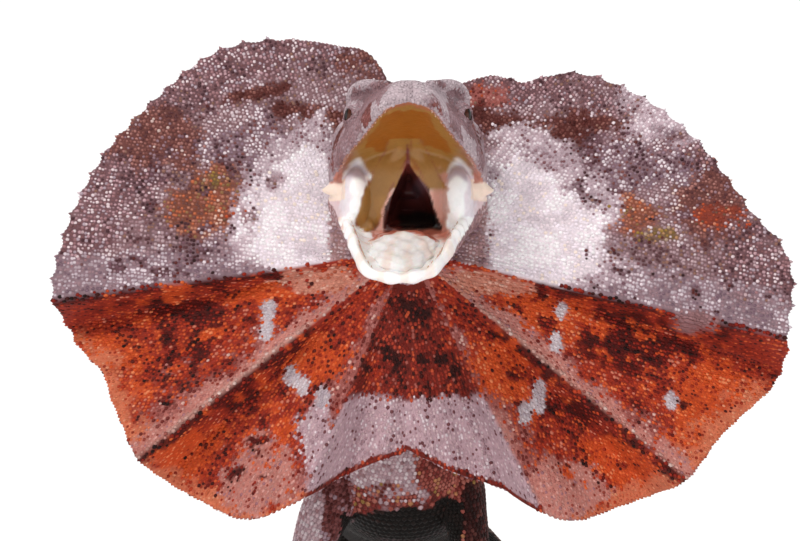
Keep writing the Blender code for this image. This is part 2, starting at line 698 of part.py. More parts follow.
def make_paw(name, wrist, heading_degrees, side, sizes):
    """A hand or a foot: palm and five digits with claws, fused, with a flat sole."""
    heading = math.radians(heading_degrees) * side
    ahead = np.array((math.sin(heading), -math.cos(heading), 0.0))
    level = unit(np.cross(ahead, (0.0, 0.0, 1.0)))
    length, half, thick = sizes["palm"]
    wrist = np.asarray(wrist, float)
    palm = (
        (*wrist[:3], wrist[3], wrist[4]),
        (*(wrist[:2] + ahead[:2] * length * 0.35), thick * 1.25, half * 0.85, thick),
        (*(wrist[:2] + ahead[:2] * length * 0.75), thick * 0.95, half, thick * 0.95),
        (*(wrist[:2] + ahead[:2] * length), thick * 0.8, half * 0.86, thick * 0.75),
        (*(wrist[:2] + ahead[:2] * length * 1.16), thick * 0.7, half * 0.45, thick * 0.4),
    )
    end = path_length(palm, len(palm) - 1)
    made = add_solid(name, *loft(swept_rings(palm, np.linspace(GAP, end, 8), 10, level)), "hide")
    toes = []
    for turn_degrees, reach in sizes["digits"]:
        turn = math.radians(turn_degrees) * side
        root = np.array((*wrist[:2], 0.0)) + ahead * length * 0.72 + level * -math.sin(turn) * half * 0.62
        rows = digit_stations(root, heading + turn, reach + length * 0.28, sizes["thickness"], sizes["claw"])
        places = np.linspace(0.0, path_length(rows, len(rows) - 1), DIGIT_RINGS)
        toe_heading = heading + turn
        toe_level = np.array((math.cos(toe_heading), math.sin(toe_heading), 0.0))
        toe = loft(swept_rings(rows, places, DIGIT_SIDES, toe_level))
        toes.append(add_solid(name + "_toe", *toe, "hide"))
    fuse(made, toes)
    stand_on_floor(made)
    return made


def membrane_point(side, angle, reach):
    """A point of the frill's middle surface, from its angle in degrees and its reach in millimetres."""
    turn = math.radians(angle)
    sign = 1.0 if side == "left" else -1.0
    lean = smooth_rows(LEAN, angle)[0][0]
    grown = smooth_step((reach - PLEAT_GROWS[0]) / (PLEAT_GROWS[1] - PLEAT_GROWS[0]))
    depth = lean * reach + pleat(side, angle) * PLEAT_DEPTH * grown * reach / 100.0
    return FAN_CENTRE + (sign * math.sin(turn) * reach, depth, math.cos(turn) * reach)


def pleat(side, angle):
    """Fold of the membrane from -1, forward on a ridge, to +1 in the hollow just below it."""
    ridges = (FIRST_ROD[side], SECOND_ROD[side], THIRD_FOLD[side])
    if angle <= ridges[0]:
        valley = LOBE_VALLEY_DEPTH * math.exp(-(((angle - LOBE_VALLEY) / LOBE_VALLEY_WIDTH) ** 2))
        return valley - smooth_step((angle - 0.55 * ridges[0]) / (0.45 * ridges[0]))
    for above, below in zip(ridges, (*ridges[1:], 180.0)):
        if angle <= below:
            drop = (angle - above) / PLEAT_DROP
            if drop < 1.0:
                return -1.0 + 1.75 * smooth_step(drop)
            climb = (angle - above - PLEAT_DROP) / (below - above - PLEAT_DROP)
            top = -1.0 if below < 180.0 else 0.2
            return 0.75 + (top - 0.75) * climb
    return 0.0


def smooth_step(share):
    share = min(1.0, max(0.0, share))
    return share * share * (3.0 - 2.0 * share)


def rod_raise(side, angle, reach):
    """Height of the bony rods, which taper outwards."""
    raised = 0.0
    for rod in (FIRST_ROD[side], SECOND_ROD[side]):
        away = abs(math.radians(angle - rod)) * reach
        raised = max(raised, 1.0 - away / ROD_WIDTH)
    return ROD_RAISE * raised


def frill_columns(side, first, last):
    """Angles of the membrane's columns, and whether each frays the rim: an even run and the folds."""
    count = max(2, round((last - first) / COLUMN_STEP))
    even = [(angle, i % 2) for i, angle in enumerate(np.linspace(first, last, count + 1))]
    close = []
    for rod in (FIRST_ROD[side], SECOND_ROD[side], THIRD_FOLD[side]):
        close += [(rod, 0), (rod + PLEAT_DROP, 0)]
    close = [place for place in close if first + 0.5 < place[0] < last - 0.5]
    ends = [even[0], even[-1]]
    inner = [e for e in even[1:-1] if all(abs(e[0] - c[0]) > 0.5 * COLUMN_STEP for c in close)]
    return sorted(ends + inner + close)


def panel_shell(columns):
    """Front and back points of a run of columns, each a side, angle, tooth and shift from a parting."""
    fronts, backs = [], []
    for side, angle, tooth, shift in columns:
        rim = smooth_rows(FRILL_REACH[side], angle)[0][0]
        front, back = [], []
        for share in FAN_ROWS:
            reach = FAN_ROOT + (rim - FAN_ROOT) * share + (tooth if share == 1.0 else 0.0)
            turned = angle + math.degrees(shift / reach)
            middle = membrane_point(side, turned, reach)
            along = membrane_point(side, angle, reach + 0.5) - membrane_point(side, angle, reach - 0.5)
            round_it = membrane_point(side, angle + 1.0, reach) - membrane_point(side, angle - 1.0, reach)
            normal = unit(np.cross(along, round_it))
            if normal[1] > 0.0:
                normal = -normal
            front.append(middle + normal * (MEMBRANE + rod_raise(side, turned, reach)))
            back.append(middle - normal * MEMBRANE)
        fronts.append(front)
        backs.append(back)
    return np.array(fronts), np.array(backs)


def panel_faces(columns, rows):
    """Triangles of a closed sheet whose two sides are split alike."""
    back = columns * rows
    faces = []
    for i in range(columns - 1):
        for j in range(rows - 1):
            a, b = i * rows + j, i * rows + j + 1
            c, d = (i + 1) * rows + j, (i + 1) * rows + j + 1
            faces += [(a, b, d), (a, d, c), (back + a, back + d, back + b), (back + a, back + c, back + d)]
        for j in (0, rows - 1):
            a, c = i * rows + j, (i + 1) * rows + j
            faces += [(a, c, back + c), (a, back + c, back + a)]
    for i in (0, columns - 1):
        for j in range(rows - 1):
            a, b = i * rows + j, i * rows + j + 1
            faces += [(a, b, back + b), (a, back + b, back + a)]
    return faces


def make_panel(name, columns, finish):
    """One piece of the frill's membrane."""
    fronts, backs = panel_shell(columns)
    points = np.concatenate([fronts.reshape(-1, 3), backs.reshape(-1, 3)])
    return add_solid(name, points, panel_faces(len(columns), len(FAN_ROWS)), finish)


def side_columns(side, first, last, first_shift, last_shift):
    """Columns of one side's membrane between two partings."""
    places = frill_columns(side, first, last)
    columns = []
    for i, (angle, frayed) in enumerate(places):
        shift = first_shift if i == 0 else last_shift if i == len(places) - 1 else 0.0
        columns.append((side, angle, RIM_TOOTH * frayed * (0.8 + 0.2 * math.sin(1.7 * i)), shift))
    return columns


def make_frill(neighbours):
    """The frill in five pieces, parted at the rods and cut clear of neck, head and jaw."""
    half = GAP / 2
    pieces = []
    for side in ("right", "left"):
        rod, fold = FIRST_ROD[side], THIRD_FOLD[side]
        lobe = side_columns(side, FAN_START[side], rod, 0.0, -half)
        pieces.append(make_panel("frill_lobe_" + side, lobe, "lobe"))
        pleats = side_columns(side, rod, fold, half, -half)
        pieces.append(make_panel("frill_pleats_" + side, pleats, "pleat"))
    right = side_columns("right", THIRD_FOLD["right"], 180.0, half, 0.0)
    left = side_columns("left", THIRD_FOLD["left"], 180.0, half, 0.0)
    pieces.append(make_panel("frill_throat", right + left[-2::-1], "throat"))
    for piece in pieces:
        clear_of(piece, *neighbours)
    return pieces


def centre_on_floor(objects):
    """Moves the meshes so that the middle of the whole animal's floor area is the origin."""
    corners = np.array([v.co[:] for shape in objects for v in shape.data.vertices])
    middle = (corners.min(axis=0) + corners.max(axis=0)) / 2
    for shape in objects:
        for vertex in shape.data.vertices:
            vertex.co.x -= middle[0]
            vertex.co.y -= middle[1]


def main():
    for old in list(bpy.data.objects):
        bpy.data.objects.remove(old)

    head = make_head()
    head_room = room_of(head, 2 * GAP)
    sides = (1.0, -1.0)
    upper_teeth = tooth_row(HEAD, PALATE_PITCH, UPPER_TEETH, 0.75 * LIP_WIDTH, 0.0, -1.0)
    fuse(head, [make_brow(side) for side in sides] + [make_lids(side) for side in sides] + upper_teeth)
    for name, side in (("eye_left", 1.0), ("eye_right", -1.0)):
        clear_of(head, room_of(make_eye(name, side)))
        clear_of(head, hidden(nostril_room(side)))
    jaw = make_lower_jaw()
    jaw_room = room_of(jaw, 2.4 * GAP)
    clear_of(jaw, head_room)
    fuse(jaw, tooth_row(JAW, JAW_PITCH, LOWER_TEETH, 0.7 * LIP_WIDTH, -0.6, 1.0))
    lining = make_lining()
    lining_room = room_of(lining)
    throat = throat_room()
    clear_of(lining, throat, head_room, jaw_room)
    clear_of(make_tongue(), jaw_room)
    bpy.data.objects.remove(throat)

    trunk = {name: make_trunk_part(name) for name in TRUNK_PARTS}
    rooms = {name: room_of(part) for name, part in trunk.items()}
    clear_of(trunk["neck"], head_room, jaw_room, lining_room)
    for name in ("tail_2", "tail_3", "tail_4", "tail_5"):
        stand_on_floor(trunk[name])

    for side, sign in (("right", -1.0), ("left", 1.0)):
        upper, lower = make_limb(FORELIMBS[side], "upper_arm_" + side, "forearm_" + side)
        wrist_room = room_of(lower)
        clear_of(lower, room_of(upper))
        clear_of(upper, rooms["shoulders"], rooms["trunk"], rooms["neck"])
        hand = make_paw("hand_" + side, FORELIMBS[side][-1], HAND_HEADINGS[side], sign, HAND)
        clear_of(hand, wrist_room)
        upper, lower = make_limb(HIND_LIMBS[side], "thigh_" + side, "shin_" + side)
        ankle_room = room_of(lower)
        clear_of(lower, room_of(upper))
        clear_of(upper, rooms["hips"], rooms["trunk"], rooms["tail_1"])
        foot = make_paw("foot_" + side, HIND_LIMBS[side][-1], FOOT_HEADINGS[side], sign, FOOT)
        clear_of(foot, ankle_room)

    make_frill([rooms["neck"], rooms["shoulders"], head_room, jaw_room, lining_room])
    for shape in list(bpy.data.objects):
        if shape.hide_render:
            bpy.data.objects.remove(shape)
    centre_on_floor(list(bpy.data.objects))


main()
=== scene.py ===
"""Frilled lizard in its threat display: skin, scales, frill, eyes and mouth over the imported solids.

Lengths are millimetres in the animal's own frame, where x is its left, -y is ahead and z is up, and
turn into metres when a mesh is made. Everything random is seeded, so each run gives the same animal.
"""

from __future__ import annotations

import logging
import math
from dataclasses import dataclass, field
from enum import Enum
from itertools import product

import bpy
import numpy as np
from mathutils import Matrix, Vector
from mathutils.bvhtree import BVHTree


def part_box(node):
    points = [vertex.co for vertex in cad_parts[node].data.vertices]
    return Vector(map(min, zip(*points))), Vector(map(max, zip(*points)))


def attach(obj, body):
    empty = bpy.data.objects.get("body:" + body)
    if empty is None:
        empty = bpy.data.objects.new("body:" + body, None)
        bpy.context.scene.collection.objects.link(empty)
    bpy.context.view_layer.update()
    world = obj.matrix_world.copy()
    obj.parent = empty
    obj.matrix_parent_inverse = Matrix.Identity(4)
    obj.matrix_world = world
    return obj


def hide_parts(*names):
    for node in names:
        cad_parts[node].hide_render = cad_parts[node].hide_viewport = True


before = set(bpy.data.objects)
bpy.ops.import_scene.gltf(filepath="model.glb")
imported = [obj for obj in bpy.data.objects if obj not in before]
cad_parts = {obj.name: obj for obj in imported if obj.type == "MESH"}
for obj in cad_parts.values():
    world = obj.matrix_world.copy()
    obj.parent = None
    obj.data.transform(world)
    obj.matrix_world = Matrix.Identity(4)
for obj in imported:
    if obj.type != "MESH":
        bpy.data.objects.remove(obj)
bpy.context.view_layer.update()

Array = np.ndarray
Object = bpy.types.Object
Roots = dict[str, Array]
LOG = logging.getLogger("frilled_lizard")
MM = 0.001
SIDEWAYS = np.array((1, 0, 0))
MARKING = "Marking"
BAKE_MAP = "OFBake"
BAKE_PATCH = 0.003


def unit(vector: Array) -> Array:
    """Vectors scaled to length one along their last axis."""
    vector = np.asarray(vector, float)
    return vector / np.maximum(np.linalg.norm(vector, axis=-1, keepdims=True), 1e-9)


def ease(share: Array) -> Array:
    """Eases a share from 0 to 1, flat at both ends."""
    share = np.clip(share, 0, 1)
    return share * share * (3 - 2 * share)


def ramp(value: Array, start: float, width: float) -> Array:
    """Eases from 0 at a start to 1 a width beyond it; a negative width turns the ramp round."""
    return ease((value - start) / width)


def smooth_rows(table: tuple, at: Array) -> Array:
    """Reads a table along smooth curves.

    Args:
        table: rows keyed by their first column.
        at: places to read.

    Returns:
        One row of the other columns for each place.
    """
    rows = np.asarray(table, float)
    keys, values = rows[:, 0], rows[:, 1:]
    slopes = np.gradient(values, keys, axis=0)
    at = np.clip(np.atleast_1d(np.asarray(at, float)), keys[0], keys[-1])
    low = np.clip(np.searchsorted(keys, at) - 1, 0, len(keys) - 2)
    span = (keys[low + 1] - keys[low])[:, None]
    u = (at - keys[low])[:, None] / span
    start = (2 * u**3 - 3 * u**2 + 1) * values[low] + (u**3 - 2 * u**2 + u) * span * slopes[low]
    end = (3 * u**2 - 2 * u**3) * values[low + 1] + (u**3 - u**2) * span * slopes[low + 1]
    return start + end


def value_noise(points: Array, cell: float, seed: int) -> Array:
    """Smooth seeded noise in space.

    Args:
        points: places in millimetres, one row each.
        cell: width of a blotch in millimetres.
        seed: number of the pattern.

    Returns:
        A value from 0 to 1 for each point.
    """
    table = np.random.default_rng(seed).random(4096)
    scaled = np.asarray(points, float) / cell + 512
    base = np.floor(scaled).astype(np.int64)
    share = ease(scaled - base)
    total = np.zeros(len(base))
    for corner in range(2 ** base.shape[1]):
        bits = [(corner >> axis) & 1 for axis in range(base.shape[1])]
        index = np.zeros(len(base), np.int64)
        weight = np.ones(len(base))
        for axis, bit in enumerate(bits):
            index = index * 1619 + (base[:, axis] + bit) * (31337 + 977 * axis)
            weight *= share[:, axis] if bit else 1 - share[:, axis]
        total += weight * table[(index ^ (index >> 7)) % 4096]
    return total


def near_path(points: Array, path: tuple) -> Array:
    """Distance of each point from a broken line, both in the same number of dimensions.

    Args:
        points: places, one row each.
        path: corners of the line.

    Returns:
        The distances.
    """
    stops = np.asarray(path, float)
    best = np.full(len(points), 1e9)
    for start, end in zip(stops[:-1], stops[1:]):
        step = end - start
        share = np.clip((points - start) @ step / max(float(step @ step), 1e-9), 0, 1)
        best = np.minimum(best, np.linalg.norm(points - start - share[:, None] * step, axis=1))
    return best


def linear(code: str) -> Array:
    """An sRGB hex colour as linear light.

    Args:
        code: the colour, such as #a08070.

    Returns:
        Red, green and blue from 0 to 1.
    """
    values = [int(code[i : i + 2], 16) / 255 for i in (1, 3, 5)]
    return np.array([v / 12.92 if v <= 0.04045 else ((v + 0.055) / 1.055) ** 2.4 for v in values])


def laid(under: Array, colour: Array, share: Array) -> Array:
    """Colours with another laid over them by a share from 0 to 1 for each."""
    return under * (1 - share[:, None]) + colour * share[:, None]


@dataclass(frozen=True)
class Palette:
    """Colours of one zone: the skin, the scales' tones with their shares, and how the scales sit.

    In a zone with a high clump the dark and the pale scales stand in groups. Relief and fill make
    the scales of a zone flatter or smaller than the coat's own.
    """

    skin: str
    tones: dict[str, float]
    clump: float = 0.45
    relief: float = 1
    fill: float = 1

    def draw(self, chance: Array) -> Array:
        """One linear colour for each share, from 0 for the darkest tone to 1 for the palest.

        Args:
            chance: the shares.

        Returns:
            A colour for each.
        """
        codes = sorted(self.tones, key=lambda code: sum(linear(code)))
        weights = np.cumsum([self.tones[code] for code in codes])
        index = np.searchsorted(weights / weights[-1], np.clip(chance, 0, 0.999999))
        return np.array([linear(code) for code in codes])[index]


@dataclass
class Coating:
    """What a coat looks like at many places: the scales' colour and seat, and the skin's colour."""

    scales: Array
    skin: Array
    relief: Array
    fill: Array


@dataclass
class Shape:
    """Points in millimetres and the faces between them."""

    points: Array
    faces: list[tuple[int, ...]]


def joined(shapes: list[Shape]) -> Shape:
    """Several shapes as one.

    Args:
        shapes: the shapes.

    Returns:
        All their points and faces.
    """
    points, faces, count = [], [], 0
    for shape in shapes:
        points.append(np.asarray(shape.points, float))
        faces += [tuple(index + count for index in face) for face in shape.faces]
        count += len(shape.points)
    return Shape(np.concatenate(points), faces)


def loft(rings: Array) -> Shape:
    """Closed body through rings of equal count, with a fan over each end.

    Args:
        rings: closed rings in order.

    Returns:
        The body, with its faces pointing out.
    """
    rings = np.asarray(rings, float)
    count, sides = rings.shape[:2]
    points = np.concatenate([rings.reshape(-1, 3), [rings[0].mean(axis=0)], [rings[-1].mean(axis=0)]])
    faces: list[tuple[int, ...]] = []
    for row in range(count - 1):
        low, high = row * sides, (row + 1) * sides
        faces += [(low + i, low + (i + 1) % sides, high + (i + 1) % sides, high + i) for i in range(sides)]
    last = (count - 1) * sides
    for i in range(sides):
        j = (i + 1) % sides
        faces += [(i, count * sides, j), (last + j, count * sides + 1, last + i)]
    corners = np.array([(face[0], face[k], face[k + 1]) for face in faces for k in range(1, len(face) - 1)])
    a, b, c = (points[corners[:, k]] for k in range(3))
    if np.sum(a * np.cross(b, c)) < 0:
        faces = [face[::-1] for face in faces]
    return Shape(points, faces)


def oval(sides: int, power: float = 2) -> Array:
    """Unit ring as (sideways, upwards) pairs, squarer as the power grows.

    Args:
        sides: number of points.
        power: 2 for an ellipse.

    Returns:
        The points.
    """
    turns = np.arange(sides) * math.tau / sides
    across, up = np.cos(turns), np.sin(turns)
    bend = 2 / power
    return np.stack([np.sign(across) * np.abs(across) ** bend, np.sign(up) * np.abs(up) ** bend], axis=1)


def rounded_ring(ring: Array, steps: int) -> Array:
    """A closed ring with `steps` points on a smooth curve between each two of its own.

    Args:
        ring: its points.
        steps: how many points take the place of each.

    Returns:
        The finer ring.
    """
    before, after = np.roll(ring, 1, axis=0), np.roll(ring, -1, axis=0)
    slope, next_slope = (after - before) / 2, (np.roll(ring, -2, axis=0) - ring) / 2
    rows = []
    for share in np.arange(steps) / steps:
        u = float(share)
        start = (2 * u**3 - 3 * u**2 + 1) * ring + (u**3 - 2 * u**2 + u) * slope
        rows.append(start + (3 * u**2 - 2 * u**3) * after + (u**3 - u**2) * next_slope)
    return np.stack(rows, axis=1).reshape(-1, ring.shape[1])


@dataclass
class Sweep:
    """A tube along a smooth path: each station is x, y, z and the half widths across and up."""

    stations: tuple
    across: tuple[float, float, float] = (1, 0, 0)
    power: float = 2

    def __post_init__(self) -> None:
        """Works out the length up to each station."""
        rows = np.asarray(self.stations, float)
        steps = np.linalg.norm(np.diff(rows[:, :3], axis=0), axis=1)
        self.lengths = np.concatenate([[0], np.cumsum(steps)])
        self.table = np.column_stack([self.lengths, rows])

    def length(self, station: float) -> float:
        """Length along the path up to a station, which may fall between two."""
        return float(np.interp(station, np.arange(len(self.lengths)), self.lengths))

    def rings(self, places: Array, sides: int) -> tuple[Array, Array]:
        """Rings square to the path.

        Args:
            places: lengths along the path.
            sides: points round each ring.

        Returns:
            The rings, and the direction of the path at each.
        """
        here = smooth_rows(self.table, places)
        tangents = smooth_rows(self.table, places + 0.5) - smooth_rows(self.table, places - 0.5)
        shape, across = oval(sides, self.power), np.asarray(self.across, float)
        rings, ways = [], []
        for row, tangent in zip(here, tangents[:, :3]):
            along = unit(tangent)
            side = unit(across - along * np.dot(across, along))
            up = np.cross(side, along)
            rings.append(row[:3] + shape[:, :1] * side * row[3] + shape[:, 1:] * up * row[4])
            ways.append(along)
            across = side
        return np.array(rings), np.array(ways)

    def shape(self, first: float, last: float, step: float, sides: int) -> Shape:
        """The closed tube between two stations, with a ring every `step` millimetres.

        Args:
            first: station where it starts.
            last: station where it ends.
            step: distance between rings.
            sides: points round each ring.

        Returns:
            The tube.
        """
        start, end = self.length(first), self.length(last)
        count = max(3, int(round((end - start) / step)) + 1)
        return loft(self.rings(np.linspace(start, end, count), sides)[0])


def ball(centre: Array, radii: tuple[float, float, float], tilt: float = 0) -> Shape:
    """An ellipsoid, tilted about the x axis by an angle in radians.

    Args:
        centre: its middle.
        radii: half widths along x, y and z.
        tilt: angle in radians.

    Returns:
        The ellipsoid.
    """
    rings = []
    for turn in np.linspace(0.05, 0.95, 14) * math.pi:
        ring = oval(20) * math.sin(turn)
        ahead = np.full(20, -math.cos(turn) * radii[1])
        rings.append(np.column_stack([ring[:, 0] * radii[0], ahead, ring[:, 1] * radii[2]]))
    shape = loft(np.array(rings))
    cos, sin = math.cos(tilt), math.sin(tilt)
    turned = shape.points @ np.array(((1, 0, 0), (0, cos, -sin), (0, sin, cos))).T
    return Shape(turned + centre, shape.faces)


def pitched(pitch: float, yaw: float = 0) -> tuple[Array, Array]:
    """Directions along and above a line pitched from level, facing ahead or a little to one side."""
    along = np.array((math.sin(yaw), -math.cos(pitch), math.sin(pitch)))
    return along, np.array((0, math.sin(pitch), math.cos(pitch)))


EYE_CENTRE = np.array((14.6, -28, 174.3))


def frame_shift() -> Array:
    """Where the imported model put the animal's own origin, in millimetres."""
    low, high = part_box("eye_left")
    return (np.array(low) + np.array(high)) / 2 / MM - EYE_CENTRE


SHIFT = frame_shift()


def make_object(name: str, shape: Shape) -> Object:
    """A mesh object from a shape in the animal's frame.

    Args:
        name: name of the object.
        shape: its points and faces.

    Returns:
        The object.
    """
    mesh = bpy.data.meshes.new(name)
    mesh.from_pydata(((shape.points + SHIFT) * MM).tolist(), [], shape.faces)
    mesh.update()
    mesh.shade_smooth()
    made = bpy.data.objects.new(name, mesh)
    bpy.context.scene.collection.objects.link(made)
    return made


def evaluated(source: Object) -> Shape:
    """What an object's modifiers make of it, as a shape in triangles; the object is dropped.

    Args:
        source: an object with modifiers.

    Returns:
        The shape that they leave.
    """
    graph = bpy.context.evaluated_depsgraph_get()
    mesh = bpy.data.meshes.new_from_object(source.evaluated_get(graph))
    mesh.calc_loop_triangles()
    points = np.zeros(len(mesh.vertices) * 3)
    mesh.vertices.foreach_get("co", points)
    corners = np.zeros(len(mesh.loop_triangles) * 3, np.int32)
    mesh.loop_triangles.foreach_get("vertices", corners)
    bpy.data.meshes.remove(mesh)
    bpy.data.objects.remove(source)
    return Shape(points.reshape(-1, 3) / MM - SHIFT, [tuple(row) for row in corners.reshape(-1, 3).tolist()])


def remeshed(shapes: list[Shape], voxel: float, rounds: int) -> Shape:
    """One closed skin round overlapping shapes.

    Args:
        shapes: closed bodies that overlap.
        voxel: width of a cell in millimetres.
        rounds: how often the skin is smoothed.

    Returns:
        The skin in triangles.
    """
    source = make_object("flesh", joined(shapes))
    remesh = source.modifiers.new("remesh", "REMESH")
    remesh.mode = "VOXEL"
    remesh.voxel_size = voxel * MM
    smooth = source.modifiers.new("smooth", "SMOOTH")
    smooth.factor, smooth.iterations = 0.5, rounds
    bpy.context.view_layer.update()
    return evaluated(source)


def carved(body: Shape, hollow: Shape) -> Shape:
    """A body with a hollow cut out of it.

    Args:
        body: what is cut.
        hollow: what is taken away.

    Returns:
        What is left, in triangles.
    """
    target, cutter = make_object("body", body), make_object("hollow", hollow)
    cut = target.modifiers.new("cut", "BOOLEAN")
    cut.operation, cut.solver, cut.object = "DIFFERENCE", "EXACT", cutter
    bpy.context.view_layer.update()
    left = evaluated(target)
    bpy.data.objects.remove(cutter)
    return left


def vertex_normals(shape: Shape) -> Array:
    """Outward direction at each point of a shape in triangles.

    Args:
        shape: a shape in triangles.

    Returns:
        Unit directions.
    """
    corners = np.asarray(shape.faces)
    a, b, c = (shape.points[corners[:, i]] for i in range(3))
    flat = np.cross(b - a, c - a)
    total = np.zeros_like(shape.points)
    for i in range(3):
        np.add.at(total, corners[:, i], flat)
    return unit(total)


def add_node(tree: bpy.types.NodeTree, kind: str, settings: dict, links: dict) -> bpy.types.Node:
    """Adds one shader node.

    Args:
        tree: the material's node tree.
        kind: Blender's name of the node type.
        settings: attributes of the node, or default values of its inputs.
        links: an output socket for each input that it feeds.

    Returns:
        The node.
    """
    node = tree.nodes.new(kind)
    for name, value in settings.items():
        if name in node.inputs:
            node.inputs[name].default_value = value
        else:
            setattr(node, name, value)
    for name, socket in links.items():
        tree.links.new(socket, node.inputs[name])
    return node


@dataclass(frozen=True)
class Hide:
    """A lizard's surface, dry or moist: its colour comes from the marking layer, which also holds painted
    shade and highlight, varied as real keratin is.
    """

    name: str
    roughness: float
    grain_mm: float
    relief_mm: float
    spread: float
    shine: float = 0.2
    wet: float = 0
    flesh: float = 0

    def material(self) -> bpy.types.Material:
        """Builds the material.

        Returns:
            The material.
        """
        made = bpy.data.materials.new(self.name)
        made.use_nodes = True
        tree = made.node_tree
        shader = tree.nodes["Principled BSDF"]
        marking = add_node(tree, "ShaderNodeAttribute", {"attribute_name": MARKING}, {})
        place = add_node(tree, "ShaderNodeTexCoord", {}, {}).outputs["Object"]
        grain = {"Scale": 1 / (self.grain_mm * MM), "Detail": 3, "Roughness": 0.6}
        noise = add_node(tree, "ShaderNodeTexNoise", grain, {"Vector": place})
        low, high = 1 - self.spread, 1 + self.spread
        settings = {"From Min": 0.3, "From Max": 0.7, "To Min": low, "To Max": high}
        shade = add_node(tree, "ShaderNodeMapRange", settings, {"Value": noise.outputs["Fac"]})
        colour = add_node(
            tree,
            "ShaderNodeVectorMath",
            {"operation": "SCALE"},
            {"Vector": marking.outputs["Color"], "Scale": shade.outputs["Result"]},
        )
        tree.links.new(colour.outputs["Vector"], shader.inputs["Base Color"])
        bump = {"Strength": 0.6, "Distance": self.relief_mm * MM}
        relief = add_node(tree, "ShaderNodeBump", bump, {"Height": noise.outputs["Fac"]})
        tree.links.new(relief.outputs["Normal"], shader.inputs["Normal"])
        shader.inputs["Roughness"].default_value = self.roughness
        shader.inputs["IOR"].default_value = 1.45
        shader.inputs["Specular IOR Level"].default_value = self.shine
        shader.inputs["Coat Weight"].default_value = self.wet
        shader.inputs["Coat Roughness"].default_value = 0.18
        shader.inputs["Subsurface Weight"].default_value = self.flesh
        shader.inputs["Subsurface Radius"].default_value = (1, 0.35, 0.2)
        shader.inputs["Subsurface Scale"].default_value = 2 * MM
        return made


# Scales are dry horny plates: a soft satin sheen with a fine grain
SCALE_HORN = Hide("keratin_scales", roughness=0.5, grain_mm=1.1, relief_mm=0.12, spread=0.14)
# Skin between the scales is thin and dull
BARE_SKIN = Hide("bare_skin", roughness=0.7, grain_mm=1.6, relief_mm=0.25, spread=0.18)
# The mouth is lined with wet mucous flesh that lets light in
WET_FLESH = Hide(
    "wet_mouth_lining", roughness=0.36, grain_mm=2.2, relief_mm=0.2, spread=0.06,
    shine=0.4, wet=0.2, flesh=0.2,
)
# The eye is a glossy ball of living tissue
EYE_GLOSS = Hide("moist_eye", roughness=0.1, grain_mm=0.5, relief_mm=0, spread=0.05, shine=0.3)
# Claws are dark horn, polished by use; teeth are ivory-white dentine
CLAW_HORN = Hide("claw_horn", roughness=0.32, grain_mm=0.8, relief_mm=0.05, spread=0.2, wet=0.2)
TOOTH_IVORY = Hide("tooth_ivory", roughness=0.28, grain_mm=0.8, relief_mm=0.03, spread=0.06, wet=0.3)


MATERIALS: dict[str, bpy.types.Material] = {}


def material_of(finish: Hide) -> bpy.types.Material:
    """The material of a finish, made once.

    Args:
        finish: the finish.

    Returns:
        Its material.
    """
    if finish.name not in MATERIALS:
        MATERIALS[finish.name] = finish.material()
    return MATERIALS[finish.name]


def dressed(name: str, shape: Shape, colours: Array, finish: Hide) -> Object:
    """Makes a piece with its colours and its finish.

    Args:
        name: name of the piece.
        shape: its points and faces.
        colours: one linear colour for each point.
        finish: what it is made of.

    Returns:
        The piece.
    """
    made = make_object(name, shape)
    layer = made.data.color_attributes.new(MARKING, "FLOAT_COLOR", "POINT")
    layer.data.foreach_set("color", np.column_stack([colours, np.ones(len(colours))]).ravel())
    made.data.materials.append(material_of(finish))
    return made


class Plate(Enum):
    """Forms of a single scale: (height of the keel's front, height of its back, lift of the tip)."""

    GRANULE = (0.46, 0.42, -0.05)
    KEELED = (0.36, 0.52, 0.16)
    SMOOTH = (0.34, 0.30, -0.02)


@dataclass
class Scales:
    """Places, directions, sizes and colours of many scales, built as one mesh of closed plates."""

    roots: Array
    normals: Array
    ways: Array
    widths: Array
    lengths: Array
    heights: Array
    colours: Array
    places: Array
    plate: Plate = Plate.GRANULE

    TRIANGLES = (
        (0, 1, 6), (1, 7, 6), (1, 2, 7), (2, 3, 7), (0, 6, 5), (5, 6, 7), (5, 7, 4), (4, 7, 3),
        (1, 0, 8), (2, 1, 8), (3, 2, 8), (4, 3, 8), (5, 4, 8), (0, 5, 8),
    )

    def template(self) -> Array:
        """Nine points of a unit scale, its root end near the origin and its tip along +y."""
        front, back, tip = self.plate.value
        return np.array(
            (
                (0, -0.55, -0.22), (0.46, -0.26, -0.16), (0.46, 0.2, -0.06), (0, 0.58, tip),
                (-0.46, 0.2, -0.06), (-0.46, -0.26, -0.16), (0, -0.16, front), (0, 0.2, back),
                (0, 0, -0.5),
            )
        )

    def build(self, name: str) -> Object:
        """Makes the mesh, its colours and its map for baking.

        Args:
            name: name of the piece.

        Returns:
            The coat.
        """
        shape = self.template()
        along = unit(self.ways - self.normals * np.sum(self.ways * self.normals, axis=1, keepdims=True))
        across = np.cross(along, self.normals)
        offsets = (
            across[:, None, :] * (shape[None, :, :1] * self.widths[:, None, None])
            + along[:, None, :] * (shape[None, :, 1:2] * self.lengths[:, None, None])
            + self.normals[:, None, :] * (shape[None, :, 2:] * self.heights[:, None, None])
        )
        count, corners = len(self.roots), len(shape)
        points = (self.roots[:, None, :] + offsets).reshape(-1, 3)
        faces = (np.array(self.TRIANGLES)[None] + (np.arange(count) * corners)[:, None, None]).reshape(-1, 3)
        colours = np.repeat(self.colours, corners, axis=0)
        made = dressed(name, Shape(points, faces.tolist()), colours, SCALE_HORN)
        spots = (self.places[:, None, :] + shape[None, :, :2] * 0.8 * BAKE_PATCH).reshape(-1, 2)
        layer = made.data.uv_layers.new(name=BAKE_MAP)
        layer.data.foreach_set("uv", spots[faces.ravel()].ravel())
        return made


class Side(Enum):
    """One half of the animal, with the sign of its x."""

    LEFT = 1
    RIGHT = -1


